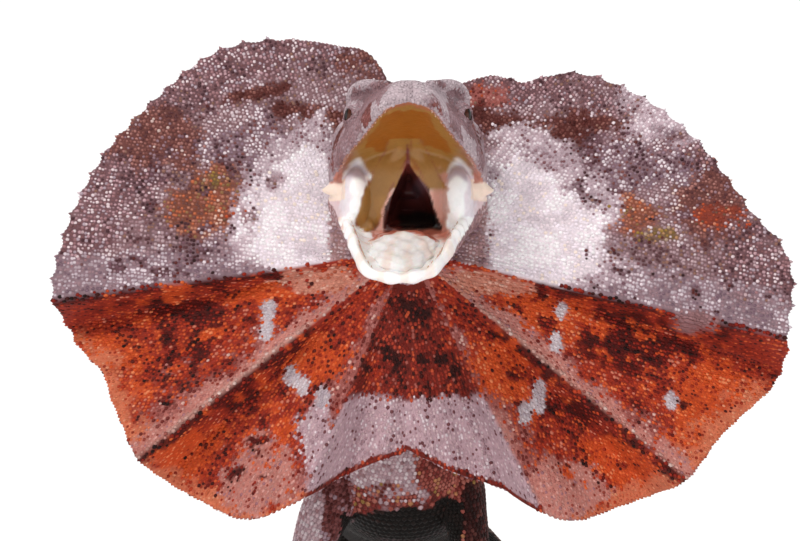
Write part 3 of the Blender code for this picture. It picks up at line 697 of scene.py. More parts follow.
# Zones of the frill and body, each with the skin between its scales and the scales' own tones
GREY_LOBE = Palette(
    "#7a5c60", {"#a98d93": 5, "#99787e": 4, "#bda1a6": 3, "#8a6458": 2.4, "#d6c4ca": 1.7, "#5a383c": 1.8}, 0.6
)
OUTER_LOBE = Palette(
    "#6a4a4f",
    {"#b8939a": 3, "#9a7175": 3.4, "#e0cdd1": 2.2, "#765052": 2.4, "#ae9aa4": 2, "#4b2d32": 1.5}, 0.4
)
ROD_GREY = Palette(
    "#8a7179", {"#ae9aa2": 4, "#96787f": 3.4, "#dacbd2": 1.6, "#7a606c": 1.6, "#c2b1ba": 2.6}, 0.6, 0.7
)
PALE_FADE = Palette(
    "#b49ea6", {"#e7d9df": 4, "#cbb7bf": 3, "#b39ba4": 2.6, "#94767e": 1.8, "#7a5055": 0.8}, 0.55, 0.7
)
WHITE_PATCH = Palette(
    "#ded0d7", {"#eee1ea": 6, "#f5eff2": 6, "#e7d7de": 3, "#d8c8d1": 1.4, "#f1dfd6": 1.2}, 0.85, 0.35, 1.1
)
SPOTTED = Palette(
    "#7b5f66",
    {"#e2d4da": 2.4, "#5a3a43": 2.4, "#8d7380": 3, "#7a4a48": 1.6, "#b7a3ab": 3.6, "#3f2227": 1.2}, 0.62
)
SPOTTED_DARK = Palette(
    "#5f4046", {"#c9b4bb": 1.2, "#4a2a2f": 3, "#71505a": 3, "#5c2a28": 2, "#9a8089": 2, "#33191b": 1.2}, 0.55
)
# Rust-dark colour of the lobes' bands and the temples, where it also stands for painted shade
RUST_AND_SHADE_BAND = Palette(
    "#552824", {"#71443f": 3, "#5a2a26": 3, "#8d5a52": 3, "#6b3a36": 4, "#a98388": 1.4, "#451a17": 1.4}, 0.6
)
BROWN_ZONE = Palette(
    "#653a36",
    {"#8c5a53": 4, "#774640": 3.4, "#a37069": 3, "#d5bab4": 0.9, "#583032": 1.6, "#8f7079": 2}, 0.45
)
ORANGE_ZONE = Palette(
    "#7e4636", {"#b2755f": 3, "#bc6644": 2, "#8f6a48": 1.6, "#d8b3a4": 0.8, "#71463f": 2, "#9a5f52": 3}, 0.5
)
RED_ZONE = Palette(
    "#7a3020", {"#b04a2a": 3, "#93402c": 3, "#7a3226": 2.4, "#c47a5e": 1.4, "#6a4a3a": 1}, 0.55
)
OLIVE_ZONE = Palette("#6e5436", {"#96763a": 3, "#7f6236": 3, "#a97f5c": 2, "#6b4a3a": 2, "#b59a86": 1}, 0.5)
# Dark red of the pleats: their blotches and speckles, and the painted shadow band under each ridge
PLEAT_DARK = Palette(
    "#4a120e", {"#7d1d12": 4, "#3d120f": 3, "#92281a": 2.6, "#b4431f": 0.8, "#5c1410": 4, "#1f0a09": 1}, 0.6
)
PLEAT_RED = Palette(
    "#8a2a1c", {"#b03c20": 4, "#9c2f18": 3, "#c4542c": 3, "#6a1812": 2, "#c4705a": 1.3, "#401210": 1.2}, 0.6
)
PLEAT_ORANGE = Palette(
    "#b8441f",
    {"#c94f20": 5, "#d66233": 3, "#b9461a": 3, "#dd7d52": 1.4, "#932b15": 1.6, "#5c1a10": 0.9}, 0.6, 0.7
)
PLEAT_MAUVE = Palette(
    "#96544e", {"#9a5650": 4, "#83403a": 3, "#b0706a": 3, "#d0a49a": 1, "#6a2622": 1.8, "#b5502f": 1}, 0.4
)
PLEAT_PINK = Palette(
    "#b4746a", {"#b98078": 5, "#b06c64": 3, "#c99088": 2.4, "#8a3a30": 1.3, "#9c6a70": 1.4}, 0.2, 0.6, 0.85
)
PLEAT_TAN = Palette("#bd7a68", {"#c88672": 5, "#bb7460": 3, "#d8a594": 2.2, "#a8563f": 1.2}, 0.7, 0.4)
PLEAT_RIM = Palette(
    "#c46a4c", {"#c9704f": 5, "#bf5f3f": 3.4, "#d38868": 2, "#8c2c1a": 1.5, "#b4553c": 2}, 0.2, 0.6, 0.85
)
# Pale pink of the pleat ridges, partly a painted highlight on their crests
RIDGE_PALE = Palette("#b38379", {"#bf938a": 4, "#b07c72": 3, "#cfb0a8": 1.4, "#8f4e46": 1.4}, 0.4, 0.5)
THROAT_RED = Palette(
    "#6a2119", {"#8a2a1e": 4, "#701d15": 3, "#a33a28": 3, "#c05030": 1.4, "#3c120f": 2.2, "#a0564c": 1.2}, 0.6
)
THROAT_BLACK = Palette("#2c0e0c", {"#3a120f": 4, "#250c0b": 3, "#5c1a15": 2, "#7d2a20": 0.8}, 0.5)
THROAT_GREY = Palette(
    "#b0929a", {"#b7979e": 4, "#c5a9ae": 3, "#d4c2c8": 2.4, "#a08088": 1.8, "#6e4044": 1.4}, 0.3, 0.6, 0.9
)
FLAKE = Palette("#b9a9ae", {"#c5bac1": 4, "#b0a0a9": 3, "#d2c6cb": 1.4}, 0.7, 0.5)
SCAR_MAUVE = Palette("#8f6769", {"#8f6769": 4, "#976f72": 3}, 0.9, 0.2, 1.15)
BACK_BROWN = Palette(
    "#5f4c46", {"#8d7a72": 4, "#77625b": 4, "#a5938a": 2.6, "#5e4a45": 2, "#b4a298": 0.8}, 0.6
)
BACK_DARK = Palette("#3c2c28", {"#5e4a45": 4, "#49362f": 3, "#6c5750": 2, "#38261f": 2}, 0.5)
FLANK_PALE = Palette("#86706a", {"#b09d94": 4, "#c2b2a9": 2.4, "#98837b": 3, "#7a625b": 1.6}, 0.5)
CHEST_GREY = Palette(
    "#a88a90", {"#c2a6ac": 4, "#d2c0c5": 3, "#b0949b": 3, "#9c7579": 1.4, "#e0d2d7": 1}, 0.5, 0.8
)
CHEST_RUST = Palette(
    "#6b2c26",
    {"#a3564c": 4, "#b26a5e": 3, "#84342f": 2.6, "#b97f58": 1.2, "#5e2420": 1.4, "#94733f": 0.5}, 0.5
)
# Black of the belly: the male's dark belly, and painted shade under the body, low on the chest and inside the
# arm
BLACK_BELLY_AND_SHADE = Palette("#100b09", {"#16100d": 6, "#1e1411": 3, "#2a1915": 0.6}, 0.4, 0.6)
ARM_BROWN = Palette("#2a100e", {"#35110e": 4, "#4a201e": 3, "#5e332e": 1.2, "#260d0b": 3}, 0.5, 0.8)
ARM_MAUVE = Palette(
    "#6a3c3c", {"#7b4544": 4, "#5f2a28": 3, "#93686c": 2.4, "#a58a94": 1.6, "#4a1c1a": 2}, 0.6
)
HEAD_MAUVE = Palette("#a38e94", {"#ac979b": 5, "#a38d93": 4, "#b6a3a8": 2.5, "#977f86": 1.8}, 0.8, 0.7)
HEAD_PALE = Palette("#b5a2a8", {"#bcaab0": 4, "#c6b5ba": 3, "#b09da3": 2}, 0.8, 0.5)
CHEEK_MAUVE = Palette(
    "#8b6e73", {"#977479": 3.4, "#a08389": 3.4, "#8a6566": 2, "#ae989e": 1.2, "#7d5a5e": 1}, 0.85, 0.7
)
LIP_RUST = Palette("#7a4440", {"#8a5350": 3, "#744340": 3, "#9d7274": 2, "#5e302e": 1.2}, 0.8)
GULAR_PINK = Palette("#92706f", {"#b48e91": 4, "#9d8189": 3.4, "#c6adb1": 2, "#84626a": 1.6}, 0.7, 0.8)


def mix_zones(zones: list[tuple], places: Array, seed: int, streaks: Array | None = None) -> Coating:
    """Colours of scales and skin from overlapping zones with natural, broken edges.

    Args:
        zones: palettes and masks from 0 to 1, later ones on top.
        places: where the masks were read, in millimetres.
        seed: number of the random draw.
        streaks: share from 0 to 1 that groups pale and dark scales; blotches by default.

    Returns:
        Colours and seat of a scale at each place, and the skin's colour.
    """
    draw = np.random.default_rng(seed)
    count = len(places)
    edge = 0.9 * (value_noise(places, 5.5, 11) - 0.5) + 0.6 * (value_noise(places, 2.2, 12) - 0.5)
    if streaks is None:
        streaks = 0.6 * value_noise(places, 3.4, 13) + 0.4 * value_noise(places, 10, 14)
    grain, stray = draw.random(count), draw.random(count) - 0.5
    coating = Coating(np.zeros((count, 3)), np.zeros((count, 3)), np.ones(count), np.ones(count))
    for palette, mask in zones:
        loose = np.clip(4 * mask * (1 - mask), 0, 1)
        chosen = mask + (edge + 0.8 * stray) * loose > 0.5
        chance = ((1 - palette.clump) * grain + palette.clump * streaks)[chosen]
        rank = np.argsort(np.argsort(chance)) / max(len(chance), 1)
        coating.scales[chosen] = palette.draw(rank)
        coating.relief[chosen], coating.fill[chosen] = palette.relief, palette.fill
        coating.skin = laid(coating.skin, linear(palette.skin), ease((mask + edge * loose) * 2 - 0.5))
    coating.scales *= (0.92 + 0.16 * draw.random(count))[:, None]
    coating.skin *= (0.8 + 0.4 * streaks)[:, None]
    return coating


@dataclass
class Frill:
    """The spread membrane: two lobes, two pleats on each side and the throat's panel, held by bony rods.

    Every angle is measured about the hyoid in degrees, clockwise as the photograph shows it, from
    straight up. The animal's left lies below 180.
    """

    centre: tuple[float, float, float] = (0, -2, 134.3)
    root: float = 9
    thickness: float = 1.3
    first_angle: float = 8
    last_angle: float = 353
    reach_left: tuple = (
        (8, 52.5), (16, 55.6), (26, 63), (35, 66.8), (41, 76.3), (52, 86.8), (65, 96.5),
        (80, 107.2), (85, 111.8), (88.5, 118), (92, 121.3), (102.5, 123.2), (107, 126),
        (110, 125), (114, 121), (121, 115.5), (129.5, 114), (140, 106), (150, 98.2),
        (158, 82), (168, 72.2), (174, 67), (180, 63.2),
    )
    reach_right: tuple = (
        (7, 56.5), (10, 63.2), (19, 70.4), (30, 79.3), (43, 89.3), (50, 92), (60, 95.5),
        (75, 103.3), (87, 108.8), (97.5, 113.2), (106, 109.5), (112.5, 104.5), (116, 105.5),
        (121, 106), (127.5, 107.8), (140, 103.5), (150, 98), (156, 87), (160, 80),
        (170, 69), (180, 63.2),
    )
    folds_left: tuple[float, float, float] = (102.5, 129.5, 152.5)
    folds_right: tuple[float, float, float] = (97.5, 127.6, 157)
    lean: tuple = ((0, 0.27), (45, 0.24), (90, 0.13), (130, 0.10), (180, 0.15))
    pleat_depth: float = 7.5
    pleat_drop: float = 5
    lobe_valley: tuple[float, float, float] = (38, 10, 0.45)
    rod_height: float = 1.1
    rod_width: float = 1.7
    tooth_step: float = 7
    tooth_height: float = 1.3
    fringe_step: float = 1.15
    front_steps: tuple[float, float] = (1.25, 1.12)
    back_steps: tuple[float, float] = (1.6, 1.45)
    angle_step: float = 0.8
    dial_step: float = 0.25
    rows: int = 62
    longest: float = 128
    unwrap_reach: float = 130
    jitter: tuple[float, float] = (0.45, 0.6)
    scale_spread: tuple[float, float] = (0.72, 0.48)
    pleat_stretch: float = 1.18
    flake_size: tuple[float, float, float] = (2.3, 3.4, 0.6)
    flakes: tuple = (
        (-44.3, -19), (-44.6, -25.5), (-36.7, -40), (-33, -43), (-27, -46), (49, -19), (47, -29), (83.5, -48),
        (42, -44), (37, -52), (41, -48),
    )

    def __post_init__(self) -> None:
        """Tabulates the rim, the lean and the folds for each quarter of a degree."""
        self.dial = np.arange(self.first_angle - 1, self.last_angle + 1, self.dial_step)
        half = np.where(self.dial <= 180, self.dial, 360 - self.dial)
        is_left = self.dial <= 180
        left, right = smooth_rows(self.reach_left, half)[:, 0], smooth_rows(self.reach_right, half)[:, 0]
        self.rims = np.where(is_left, left, right)
        self.leans = smooth_rows(self.lean, half)[:, 0]
        folds = np.where(is_left[:, None], self.folds_left, self.folds_right)
        self.turns = np.array([self.fold(at, tuple(ridges)) for at, ridges in zip(half, folds)])
        lengths = np.radians(self.dial_step) * (self.rims[1:] + self.rims[:-1]) / 2
        self.arc = np.concatenate([[0], np.cumsum(lengths)])
        saw = np.abs((self.arc / self.tooth_step) % 1 - 0.5) * 2
        upper = np.clip((115 - half) / 12, 0.25, 1) * ramp(half, 22, 12)
        self.frays = self.tooth_height * (1 - saw) ** 2 * upper
        ruffle = np.random.default_rng(7)
        waves = sum(np.sin(np.radians(half) * k + ruffle.random() * 6) / k for k in (17, 29, 41, 53))
        self.ruffles = waves * 14 * (1 - ramp(half, 60, -30))

    def fold(self, angle: float, ridges: tuple[float, float, float]) -> float:
        """Depth of the pleats at one angle, from -1 on a ridge to 0.75 in the hollow below it.

        Args:
            angle: degrees from straight up.
            ridges: angles of the three ridges.

        Returns:
            The depth, as a share.
        """
        if angle <= ridges[0]:
            at, width, deep = self.lobe_valley
            valley = deep * math.exp(-(((angle - at) / width) ** 2))
            return valley - float(ease(np.array((angle / ridges[0] - 0.55) / 0.45)))
        for above, below in zip(ridges, (*ridges[1:], 180)):
            if angle <= below:
                if angle - above < self.pleat_drop:
                    return -1 + 1.75 * float(ease(np.array((angle - above) / self.pleat_drop)))
                climb = (angle - above - self.pleat_drop) / (below - above - self.pleat_drop)
                top = -1 if below < 180 else 0.2
                return 0.75 + (top - 0.75) * climb
        return 0

    def rim(self, angle: Array) -> Array:
        """Reach of the membrane at each angle, without its frayed edge."""
        return np.interp(angle, self.dial, self.rims)

    def rods(self) -> tuple[float, ...]:
        """Angles of the four bony rods."""
        return (*self.folds_left[:2], *(360 - a for a in self.folds_right[:2]))

    def middle(self, angle: Array, reach: Array) -> Array:
        """Points of the membrane's middle surface.

        Args:
            angle: angles in degrees.
            reach: distances from the hyoid.

        Returns:
            The points.
        """
        turn = np.radians(angle)
        grown = ramp(reach, 12, 48) * self.pleat_depth * reach / 100
        outward = ease(reach / np.maximum(self.rim(angle), 1) * 1.6 - 0.6)
        depth = np.interp(angle, self.dial, self.leans) * reach
        depth = depth + np.interp(angle, self.dial, self.turns) * grown
        depth = depth + np.interp(angle, self.dial, self.ruffles) * outward
        fan = np.stack([np.sin(turn) * reach, depth, np.cos(turn) * reach], axis=-1)
        return fan + np.asarray(self.centre)

    def face(self, angle: Array, reach: Array, front: bool) -> tuple[Array, Array]:
        """Points and outward directions on one face of the membrane.

        Args:
            angle: angles in degrees.
            reach: distances from the hyoid.
            front: whether the face is the one that the threat shows.

        Returns:
            The points and their unit directions away from the membrane.
        """
        along = self.middle(angle, reach + 0.4) - self.middle(angle, reach - 0.4)
        turn = np.degrees(0.5 / np.maximum(reach, 4))
        round_it = self.middle(angle + turn, reach) - self.middle(angle - turn, reach)
        normal = unit(np.cross(along, round_it))
        normal = np.where(normal[..., 1:2] > 0, -normal, normal)
        lift = np.full(np.shape(angle), self.thickness / 2)
        for rod in self.rods():
            away = np.abs(np.radians(angle - rod)) * reach / self.rod_width
            slim = np.clip(1.2 - reach / np.maximum(self.rim(angle), 1), 0.25, 1)
            lift = lift + self.rod_height * slim * np.exp(-(away**2)) * (1 if front else 0.6)
        sign = 1 if front else -1
        return self.middle(angle, reach) + normal * (lift * sign)[..., None], normal * sign

    def zones(self, angle: Array, reach: Array) -> list[tuple]:
        """The front's markings, with painted shade under the pleats' ridges and beside the head and painted
        highlight on the ridges, each a palette with the membership of every place, later ones on top.

        Args:
            angle: angles in degrees.
            reach: distances from the hyoid.

        Returns:
            Pairs of palette and mask from 0 to 1.
        """
        turn = np.radians(angle)
        spot = np.stack([np.sin(turn) * reach, np.cos(turn) * reach], axis=-1)
        left = angle <= 180
        half = np.where(left, angle, 360 - angle)
        share = reach / self.rim(angle)
        first, second, third = (np.where(left, a, b) for a, b in zip(self.folds_left, self.folds_right))

        def blob(x: float, z: float, wide: float, tall: float, edge: float = 0.95) -> Array:
            """Mask of one soft ellipse."""
            away = np.hypot((spot[:, 0] - x) / wide, (spot[:, 1] - z) / tall)
            return np.clip((1 - away) / edge + 0.5, 0, 1)

        def stroke(path: tuple, wide: float) -> Array:
            """Mask of one soft stroke."""
            return np.clip((wide - near_path(spot, path)) / (1.5 * wide) + 0.5, 0, 1)

        def blobs(*ovals: tuple[float, ...]) -> Array:
            """Mask of several soft ellipses, each with its own weight."""
            return sum(weight * blob(*oval_sizes) for *oval_sizes, weight in ovals)

        lobe = half <= first
        one = (half > first) & (half <= second)
        two = (half > second) & (half <= third)
        throat = half > third
        down_one = (half - first) / (second - first)
        down_two = (half - second) / (third - second)
        above_rod, above_second = (np.radians(1) * (rod - half) * reach for rod in (first, second))
        outer = ramp(reach, 20, 20)
        everywhere = np.ones(len(angle))
        lobes = [
            (GREY_LOBE, everywhere),
            (OUTER_LOBE, np.clip((share - 0.7) * 4, 0, 0.75)),
            (ROD_GREY, np.clip((1 - above_rod / 16) * 1.6, 0, 0.95) * outer),
            (BROWN_ZONE, blobs((-79, 36, 17, 10, 0.95), (-14, 59, 9, 8, 0.75), (96, 16, 15, 14, 0.9))),
            (SPOTTED, blobs((-48, 32, 17, 12, 0.95), (-64, 0.5, 18, 4.5, 0.6), (69, 27, 22, 10, 0.95))),
            (SPOTTED_DARK, blobs((54, 21, 6, 9, 0.9), (50, 33, 17, 7, 0.7), (-52, 23, 9, 6, 0.6))),
            (ROD_GREY, blob(82, 41, 10, 6) * 0.9),
            (ORANGE_ZONE, blobs((-61, 16, 14, 10, 0.95), (-70, 11, 9, 6, 0.7), (70, 12, 10, 7.5, 1))),
            (RED_ZONE, blobs((102, 11, 9, 4.5, 0.75), (-54, 12, 5, 4, 0.7))),
            (OLIVE_ZONE, blobs((64, 14, 4, 4, 0.8), (81, 5, 8, 3, 0.75), (-60, 22, 5, 3, 0.6))),
            (PLEAT_MAUVE, blob(27, 50, 8, 5) * 0.85),
            # Rust-dark bands near the top of the lobes by the head: partly the lobes' rust pigment, partly
            # painted shade of the fold there
            (RUST_AND_SHADE_BAND, stroke(((-58, 49.4), (-47, 52), (-39, 53)), 2) * 0.9),
            (RUST_AND_SHADE_BAND, stroke(((-40, 46), (-30, 44.5), (-19, 42)), 3) + 0.75 * blob(-24, 35, 7, 8)),
            (RUST_AND_SHADE_BAND, stroke(((26, 42), (36, 39), (50, 38)), 5.4)),
            (RUST_AND_SHADE_BAND, 0.85 * stroke(((52, 42), (62, 43), (73, 39)), 3.4)),
            # Upright dark strokes right beside the head: painted shade where the frill meets the head
            (RUST_AND_SHADE_BAND, 0.85 * stroke(((17, 38), (19, 26)), 2.8) + 0.8 * stroke(((-17, 38), (-18, 24)), 2.4)),
            (PALE_FADE, blobs((-36, 12, 18, 22, 0.9), (-31, 34, 9, 10, 0.8), (-44, 2, 14, 5, 0.6),
                              (86, 46, 20, 11, 0.8))),
            (PALE_FADE, blobs((44, 8, 22, 21, 0.9), (37, 30, 13, 11, 0.85), (60, -7, 14, 5, 0.6),
                              (74, 50, 12, 6, 0.7))),
            (WHITE_PATCH, blobs((-36, 9, 14, 15, 1.15), (-31, 24, 6, 10, 0.8), (-34, 0, 11, 6, 1))),
            (WHITE_PATCH, blobs((42, 6, 17, 15, 1.15), (36, 22, 9, 10, 0.85), (46, -4, 13, 6, 1))),
            (GULAR_PINK, blobs((21, 4, 4, 14, 0.9), (-22, 2, 3, 15, 0.9))),
        ]
        pleats_one = [
            (PLEAT_RED, everywhere),
            (PLEAT_MAUVE, np.clip(down_one * 2 - 1, 0, 0.8)),
            (PLEAT_ORANGE, blobs((-96, -33, 13, 7, 1), (-45.5, -14, 11, 3.6, 1), (42, -20, 17, 6, 1))),
            (PLEAT_ORANGE, blobs((98, -46, 18, 8, 1), (93, -59, 12, 6, 0.9), (-88, -45, 9, 5, 0.7))),
            (PLEAT_RED, blob(69, -45, 14, 6)),
            (PLEAT_RIM, np.clip((share - 0.88) * 9, 0, 1) * np.clip(down_one * 2.4 - 0.2, 0, 1)),
            (PLEAT_DARK, blobs((-69, -18.5, 15, 4, 0.75), (-67, -27, 15, 6, 0.5),
                               (69, -28.5, 15.5, 10.5, 1))),
            # Dark band just under the first rod: painted shadow of the lobe's overhanging edge, over the
            # pleat's own dark red
            (PLEAT_DARK, np.clip((2.4 + above_rod) / 1.2, 0, 0.95) * ramp(reach, 36, 12)),
            # Pink and pale band along the second ridge: the ridge's own pale pink, brightened as a painted
            # highlight on its crest
            (PLEAT_PINK, np.clip((8 - above_second) / 7, 0, 0.85)),
            (RIDGE_PALE, np.clip((1.6 - above_second) / 1.2, 0, 0.75)),
            (PLEAT_TAN, blobs((-28, -9.5, 14, 4, 0.95), (25.6, -10.5, 14, 3.5, 1))),
        ]
        pleats_two = [
            (PLEAT_RED, everywhere),
            (PLEAT_MAUVE, np.clip(down_two * 2.4 - 1.4, 0, 0.8)),
            (PLEAT_ORANGE, blobs((-33, -33, 13, 7.5, 1), (-72, -64, 13, 10, 1), (30, -36, 11, 10, 1))),
            (PLEAT_ORANGE, blobs((64, -65, 12, 7, 1), (73, -72, 8, 6, 0.9))),
            (PLEAT_RIM, np.clip((share - 0.9) * 9, 0, 1)),
            (PLEAT_PINK, blobs((-47, -71, 12, 13, 1), (50, -75, 13, 10, 1), (29.5, -63, 4.5, 11, 0.9))),
            (THROAT_GREY, 0.85 * blob(-29, -61, 6.5, 16)),
            # Dark band just under the second ridge: painted shadow of the fold above, over the pleat's own
            # dark red
            (PLEAT_DARK, np.clip((3.6 + above_second) / 3, 0, 0.8) * ramp(reach, 34, 12)),
            (PLEAT_DARK, blobs((55, -51, 14, 8, 0.8), (-63, -47, 14, 5, 0.8))),
        ]
        panel = [
            (THROAT_RED, everywhere),
            (THROAT_BLACK, blobs((2.5, -18.5, 8, 5, 0.75), (-7, -30, 5, 5, 0.5))),
            (PLEAT_RED, blobs((14, -24, 3.4, 9, 0.95), (-11, -34, 3, 8, 0.5))),
            (THROAT_GREY, np.clip((-spot[:, 1] - 44) / 5, 0, 1)),
            (THROAT_RED, np.clip((reach - self.rim(angle) + 2.6) / 1.6, 0, 0.9)),
        ]
        clumps = value_noise(spot, 3.8, 35) + 0.7 * value_noise(spot, 2, 36)
        ripe = ramp(clumps, 1, 0.12) * ramp(reach, 26, 12)
        fresh = ramp(clumps, 0.68, -0.12) * ramp(reach, 34, 12)
        open_field = (one & (above_second > 7)) | (two & (down_two < 0.7))
        open_field = open_field * ramp(share, 0.95, -0.1)
        speckles = [
            (PLEAT_DARK, 0.62 * ripe * open_field),
            (PLEAT_ORANGE, 0.6 * fresh * open_field),
            (THROAT_BLACK, 0.6 * ripe * throat * (reach < 44)),
            (SPOTTED_DARK, 0.5 * ripe * lobe * ramp(np.abs(spot[:, 0]), 52, 8) * (share < 0.86)),
        ]
        flakes = sum(blob(x, z, *self.flake_size) for x, z in self.flakes)
        marks = [(FLAKE, 0.9 * flakes), (SCAR_MAUVE, blob(91, -22, 6.5, 3))]
        fields = ((lobe, lobes), (one, pleats_one), (two, pleats_two), (throat, panel))
        return [(p, m * here) for here, rows in fields for p, m in rows] + speckles + marks

    def marking(self, angle: Array, reach: Array, front: bool, seed: int) -> Coating:
        """Colours of the scales and of the skin between them.

        Args:
            angle: angles in degrees.
            reach: distances from the hyoid.
            front: whether the places lie on the front.
            seed: number of the random draw.

        Returns:
            What a scale and the skin look like at each place.
        """
        turn = np.radians(angle)
        spot = np.stack([np.sin(turn) * reach, np.cos(turn) * reach], axis=-1)
        if not front:
            stripe = value_noise(spot, 16, 31) + 0.5 * value_noise(spot, 7, 32)
            rusty = np.clip(reach / self.rim(angle) * 2 - 1.1, 0, 0.9)
            zones = [
                (BACK_BROWN, np.ones(len(angle))),
                (FLANK_PALE, np.clip(stripe * 2 - 1.3, 0, 0.8)),
                (BACK_DARK, np.clip(1.1 - stripe * 2.2, 0, 0.9)),
                (BROWN_ZONE, rusty * (angle > 60) * (angle < 300)),
            ]
            return mix_zones(zones, spot, seed)
        rays = value_noise(np.stack([angle / 1.7, reach / 14], axis=-1), 1, 33)
        cells = 0.6 * value_noise(spot, 3.4, 13) + 0.4 * value_noise(spot, 10, 14)
        pleated = (angle > self.folds_left[0]) & (angle < 360 - self.folds_right[0])
        streaks = np.where(pleated, 0.5 * rays + 0.5 * cells, cells)
        return mix_zones(self.zones(angle, reach), spot, seed, streaks)

    def membrane(self) -> Object:
        """The closed sheet with its pleats, rods and frayed rim.

        Returns:
            The membrane.
        """
        count = int((self.last_angle - self.first_angle) / self.angle_step) + 1
        angles = np.linspace(self.first_angle, self.last_angle, count)
        shares = 1 - (1 - np.linspace(0, 1, self.rows)) ** 1.15
        grid_angle = np.repeat(angles[:, None], self.rows, axis=1)
        frayed = (self.rim(angles) + np.interp(angles, self.dial, self.frays))[:, None]
        grid_reach = self.root + (frayed - self.root) * shares[None]
        points, colours = [], []
        for front in (True, False):
            face, _ = self.face(grid_angle, grid_reach, front)
            points.append(face.reshape(-1, 3))
            colours.append(self.marking(grid_angle.ravel(), grid_reach.ravel(), front, 5).skin)
        faces = []
        back, rows = count * self.rows, self.rows
        for i in range(count - 1):
            for j in range(rows - 1):
                a, b, c, d = i * rows + j, i * rows + j + 1, (i + 1) * rows + j, (i + 1) * rows + j + 1
                faces += [(a, c, d, b), (back + a, back + b, back + d, back + c)]
            for j, turned in ((0, False), (rows - 1, True)):
                a, c = i * rows + j, (i + 1) * rows + j
                faces.append((a, back + a, back + c, c) if not turned else (a, c, back + c, back + a))
        for i, turned in ((0, False), (count - 1, True)):
            for j in range(rows - 1):
                a, b = i * rows + j, i * rows + j + 1
                faces.append((a, b, back + b, back + a) if not turned else (b, a, back + a, back + b))
        sheet = Shape(np.concatenate(points), faces)
        return dressed("frill_membrane", sheet, np.concatenate(colours), BARE_SKIN)

    def coat(self, side: Side, front: bool) -> Object:
        """Small overlapping scales in staggered rows about the hyoid, over one quarter of the frill.

        Args:
            side: half of the frill.
            front: whether it covers the front.

        Returns:
            The coat.
        """
        draw = np.random.default_rng(41 if front else 43)
        width, height = self.front_steps if front else self.back_steps
        angles, reaches = [], []
        first, last = (self.first_angle, 180) if side is Side.LEFT else (180, self.last_angle)
        for row, reach in enumerate(np.arange(self.root + 4, self.longest, height)):
            step = math.degrees(width / reach)
            here = np.arange(first + 0.4 + step * (row % 2) / 2, last - 0.4, step)
            angles.append(here)
            reaches.append(np.full(len(here), reach))
        angle, reach = np.concatenate(angles), np.concatenate(reaches)
        angle = angle + np.degrees(self.jitter[0] * (draw.random(len(angle)) - 0.5) * width / reach)
        reach = reach + self.jitter[1] * (draw.random(len(reach)) - 0.5) * height
        kept = reach < self.rim(angle) + np.interp(angle, self.dial, self.frays) - 0.2
        angle, reach = angle[kept], reach[kept]
        roots, normals = self.face(angle, reach, front)
        ahead, _ = self.face(angle, reach + 0.5, front)
        look = self.marking(angle, reach, front, 17 if front else 19)
        size = (self.scale_spread[0] + self.scale_spread[1] * draw.random(len(angle))) * look.fill
        pleated = (angle > self.folds_left[0]) & (angle < 360 - self.folds_right[0])
        long = np.where(pleated, self.pleat_stretch, 1) * height * 1.08 * size
        places = np.stack([angle / 360, reach / self.unwrap_reach], axis=-1)
        scales = Scales(
            roots, normals, ahead - roots, width * size, long, 0.5 * size * look.relief,
            look.scales, places, Plate.GRANULE if front else Plate.KEELED,
        )
        LOG.info("frill scales: %d", len(roots))
        return scales.build(f"frill_scales_{'front' if front else 'back'}_{side.name.lower()}")

    def fringe(self) -> Object:
        """Pointed scales that stand out from the rim, the longest on the peaks of its saw.

        Returns:
            The fringe.
        """
        draw = np.random.default_rng(59)
        angle = np.interp(np.arange(self.arc[8], self.arc[-8], self.fringe_step), self.arc, self.dial)
        fray = np.interp(angle, self.dial, self.frays)
        reach = self.rim(angle) + fray - 0.2
        front, normals = self.face(angle, reach, True)
        back, _ = self.face(angle, reach, False)
        outward = self.face(angle, reach + 0.5, True)[0] - front
        look = self.marking(angle, reach - 3, True, 61)
        long = 1.1 + 1.2 * (fray / self.tooth_height) ** 3 + 0.4 * draw.random(len(angle))
        size = np.full(len(angle), 1.25)
        scales = Scales(
            (front + back) / 2, normals, outward, size, long, size * 0.9, look.scales,
            np.stack([angle / 360, np.full(len(angle), 0.5)], axis=-1), Plate.KEELED,
        )
        return scales.build("frill_fringe")

    def build(self) -> list[Object]:
        """Makes the membrane and its coats.

        Returns:
            The new objects, the membrane first.
        """
        made = [self.membrane()]
        names = ("lobe_left", "lobe_right", "pleats_left", "pleats_right", "throat")
        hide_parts(*(f"frill_{name}" for name in names))
        for front in (True, False):
            made += [self.coat(side, front) for side in Side]
        made.append(self.fringe())
        return made


